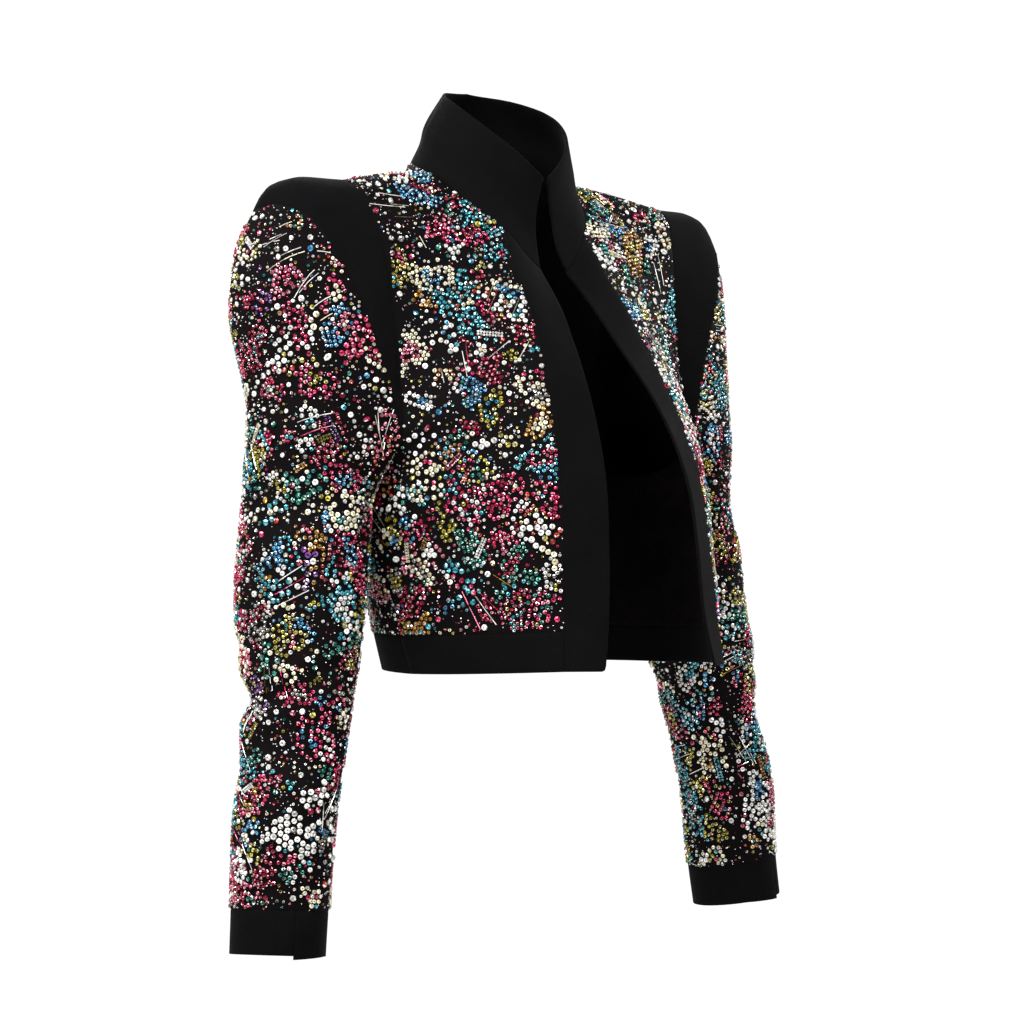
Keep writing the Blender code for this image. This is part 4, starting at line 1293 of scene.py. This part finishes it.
# Glass: how metallic it is, its roughness from least to most and its coat.
GLASS_FINISHES = {
    "coloured_glass": (0.65, (0.08, 0.30), 1.0),
    "clear_crystal": (0.10, (0.08, 0.25), 0.8),
}
GLASS_CLOUD_SCALE = 900.0
GLASS_CLOUDINESS = 0.5
GLASS_IOR = 1.55
COAT_ROUGHNESS = 0.05

# The dressed jacket.

BEADED = ("front_left", "front_right", "back", "top_sleeve", "under_sleeve")
BEAD_SEED = 1000
# The front bands' lower front corners: at which end of the last row, and how far they draw in.
ROUNDED_CORNERS = {"front_band_left": 0, "front_band_right": -1}
CORNER_ROUNDING = 0.55


def corner_rounded(grid, column):
    """The grid with the corner at one end of its last row drawn in."""
    rounded = grid.copy()
    beside = grid[-1, 1 if column == 0 else -2]
    rounded[-1, column] += CORNER_ROUNDING * ((grid[-2, column] + beside) / 2 - grid[-1, column])
    return rounded


def dress():
    """Replaces every solid by its cloth, and lays the beads on the beaded ones."""
    grids = all_grids()
    normals = shared_normals(grids)
    surface = cloth_surface()
    velvet, base = (cloth_material(name, surface, *finish) for name, finish in CLOTH_FINISHES.items())
    glass = [glass_material(name, *finish) for name, finish in GLASS_FINISHES.items()]
    forms = {kind: bead_form(kind) for kind in (*BEAD_RINGS, "bugle")}
    for number, (name, grid) in enumerate(grids.items()):
        if name in ROUNDED_CORNERS:
            grid = corner_rounded(grid, ROUNDED_CORNERS[name])
        moved = grid + normals[name] * creased(grid)[..., None]
        cloth = shell(name + "_cloth", moved, normals[name])
        beaded = name.startswith(BEADED)
        cloth.data.materials.append(base if beaded else velvet)
        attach(cloth, "root")
        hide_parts(name)
        if not beaded:
            continue
        beads = Beading(Cloth(moved, normals[name], np.random.default_rng(BEAD_SEED + number))).all_laid()
        for label, kinds in (("stones", ("stone", "drum")), ("seeds", ("ring", "seed", "bugle"))):
            piece = beads_mesh(f"{name}_{label}", [bead for bead in beads if bead[0] in kinds], forms)
            for finish in glass:
                piece.data.materials.append(finish)
            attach(piece, "root")


# Floor, light and camera.

CAMERA_AZIMUTH = -40.0
CAMERA_DISTANCE = 2.3
CAMERA_HEIGHT = -0.292
CAMERA_ASIDE = 0.0033
LENS = 96.7
FLOOR_HEIGHT = -1.42
FLOOR_RADIUS = 2.4
FLOOR_SEGMENTS = 64
FLOOR_COLOUR = (0.85, 0.85, 0.85, 1.0)
FLOOR_ROUGHNESS = 0.9
FLOOR_GLOW = 0.8
SURROUNDINGS_LIGHT = 0.14
SURROUNDINGS_SEEN = 1.05
PURE_WHITE = (1.0, 1.0, 1.0, 1.0)
LIGHTS = table(
    "azimuth elevation distance size power",
    "-75 38 2.4 1.1 62; 10 25 2.6 1.2 34; -38 62 2.4 1 38; -130 30 2.4 0.9 30; 80 25 2.4 0.9 26; "
    "160 45 2.6 1.2 34; -52 12 2.6 0.16 5; -28 20 2.6 0.16 5; -72 -8 2.4 0.8 9",
)


def round_the_object(azimuth, elevation, distance):
    """Point seen from the jacket at an azimuth from the front and an elevation."""
    a = math.radians(azimuth)
    e = math.radians(elevation)
    east = distance * math.sin(a) * math.cos(e)
    south = distance * math.cos(a) * math.cos(e)
    return Vector((east, -south, CAMERA_HEIGHT + distance * math.sin(e)))


def aimed(thing, place, target):
    """Puts a light or camera at a place, looking at the target."""
    thing.location = place
    thing.rotation_euler = (Vector(target) - Vector(place)).to_track_quat("-Z", "Y").to_euler()


def pale_floor():
    """Matt pale floor, lit through so that its edge melts into the white surroundings."""
    made, tree = new_material("pale_floor")
    seen = added(tree, "LightPath", {}, "Is Camera Ray")
    glow = added(tree, "Math", {0: seen, 1: FLOOR_GLOW}, "Value", operation="MULTIPLY")
    finish = {
        "Base Color": FLOOR_COLOUR,
        "Roughness": FLOOR_ROUGHNESS,
        "Emission Color": PURE_WHITE,
        "Emission Strength": glow,
    }
    filled(tree, tree.nodes["Principled BSDF"], finish)
    return made


def studio():
    """Pale floor, soft lights, white surroundings and the camera."""
    bm = bmesh.new()
    bmesh.ops.create_circle(bm, cap_ends=True, segments=FLOOR_SEGMENTS, radius=FLOOR_RADIUS)
    bmesh.ops.translate(bm, verts=bm.verts, vec=(0.0, 0.0, FLOOR_HEIGHT))
    mesh = bpy.data.meshes.new("studio_floor")
    bm.to_mesh(mesh)
    bm.free()
    mesh.materials.append(pale_floor())
    floor = placed("studio_floor", mesh)
    middle = (0.0, 0.0, CAMERA_HEIGHT)
    for k, row in enumerate(rows_of(LIGHTS)):
        lamp = bpy.data.lights.new(f"softbox_{k}", "AREA")
        lamp.size = row["size"]
        lamp.energy = row["power"]
        place = round_the_object(row["azimuth"], row["elevation"], row["distance"])
        aimed(placed(f"softbox_{k}", lamp), place, middle)
    scene = bpy.context.scene
    world = bpy.data.worlds.new("white_studio")
    scene.world = world
    world.use_nodes = True
    tree = world.node_tree
    seen = {
        "Factor": added(tree, "LightPath", {}, "Is Camera Ray"),
        "A": SURROUNDINGS_LIGHT,
        "B": SURROUNDINGS_SEEN,
    }
    light = {"Color": PURE_WHITE, "Strength": added(tree, "Mix", seen, "Result")}
    filled(tree, tree.nodes["Background"], light)
    camera = placed("camera", bpy.data.cameras.new("camera"))
    camera.data.lens = LENS
    a = math.radians(CAMERA_AZIMUTH)
    shift = Vector((math.cos(a) * CAMERA_ASIDE, math.sin(a) * CAMERA_ASIDE, 0.0))
    aimed(camera, round_the_object(CAMERA_AZIMUTH, 0.0, CAMERA_DISTANCE) + shift, Vector(middle) + shift)
    scene.camera = camera
    scene.view_settings.view_transform = "Standard"


dress()
studio()
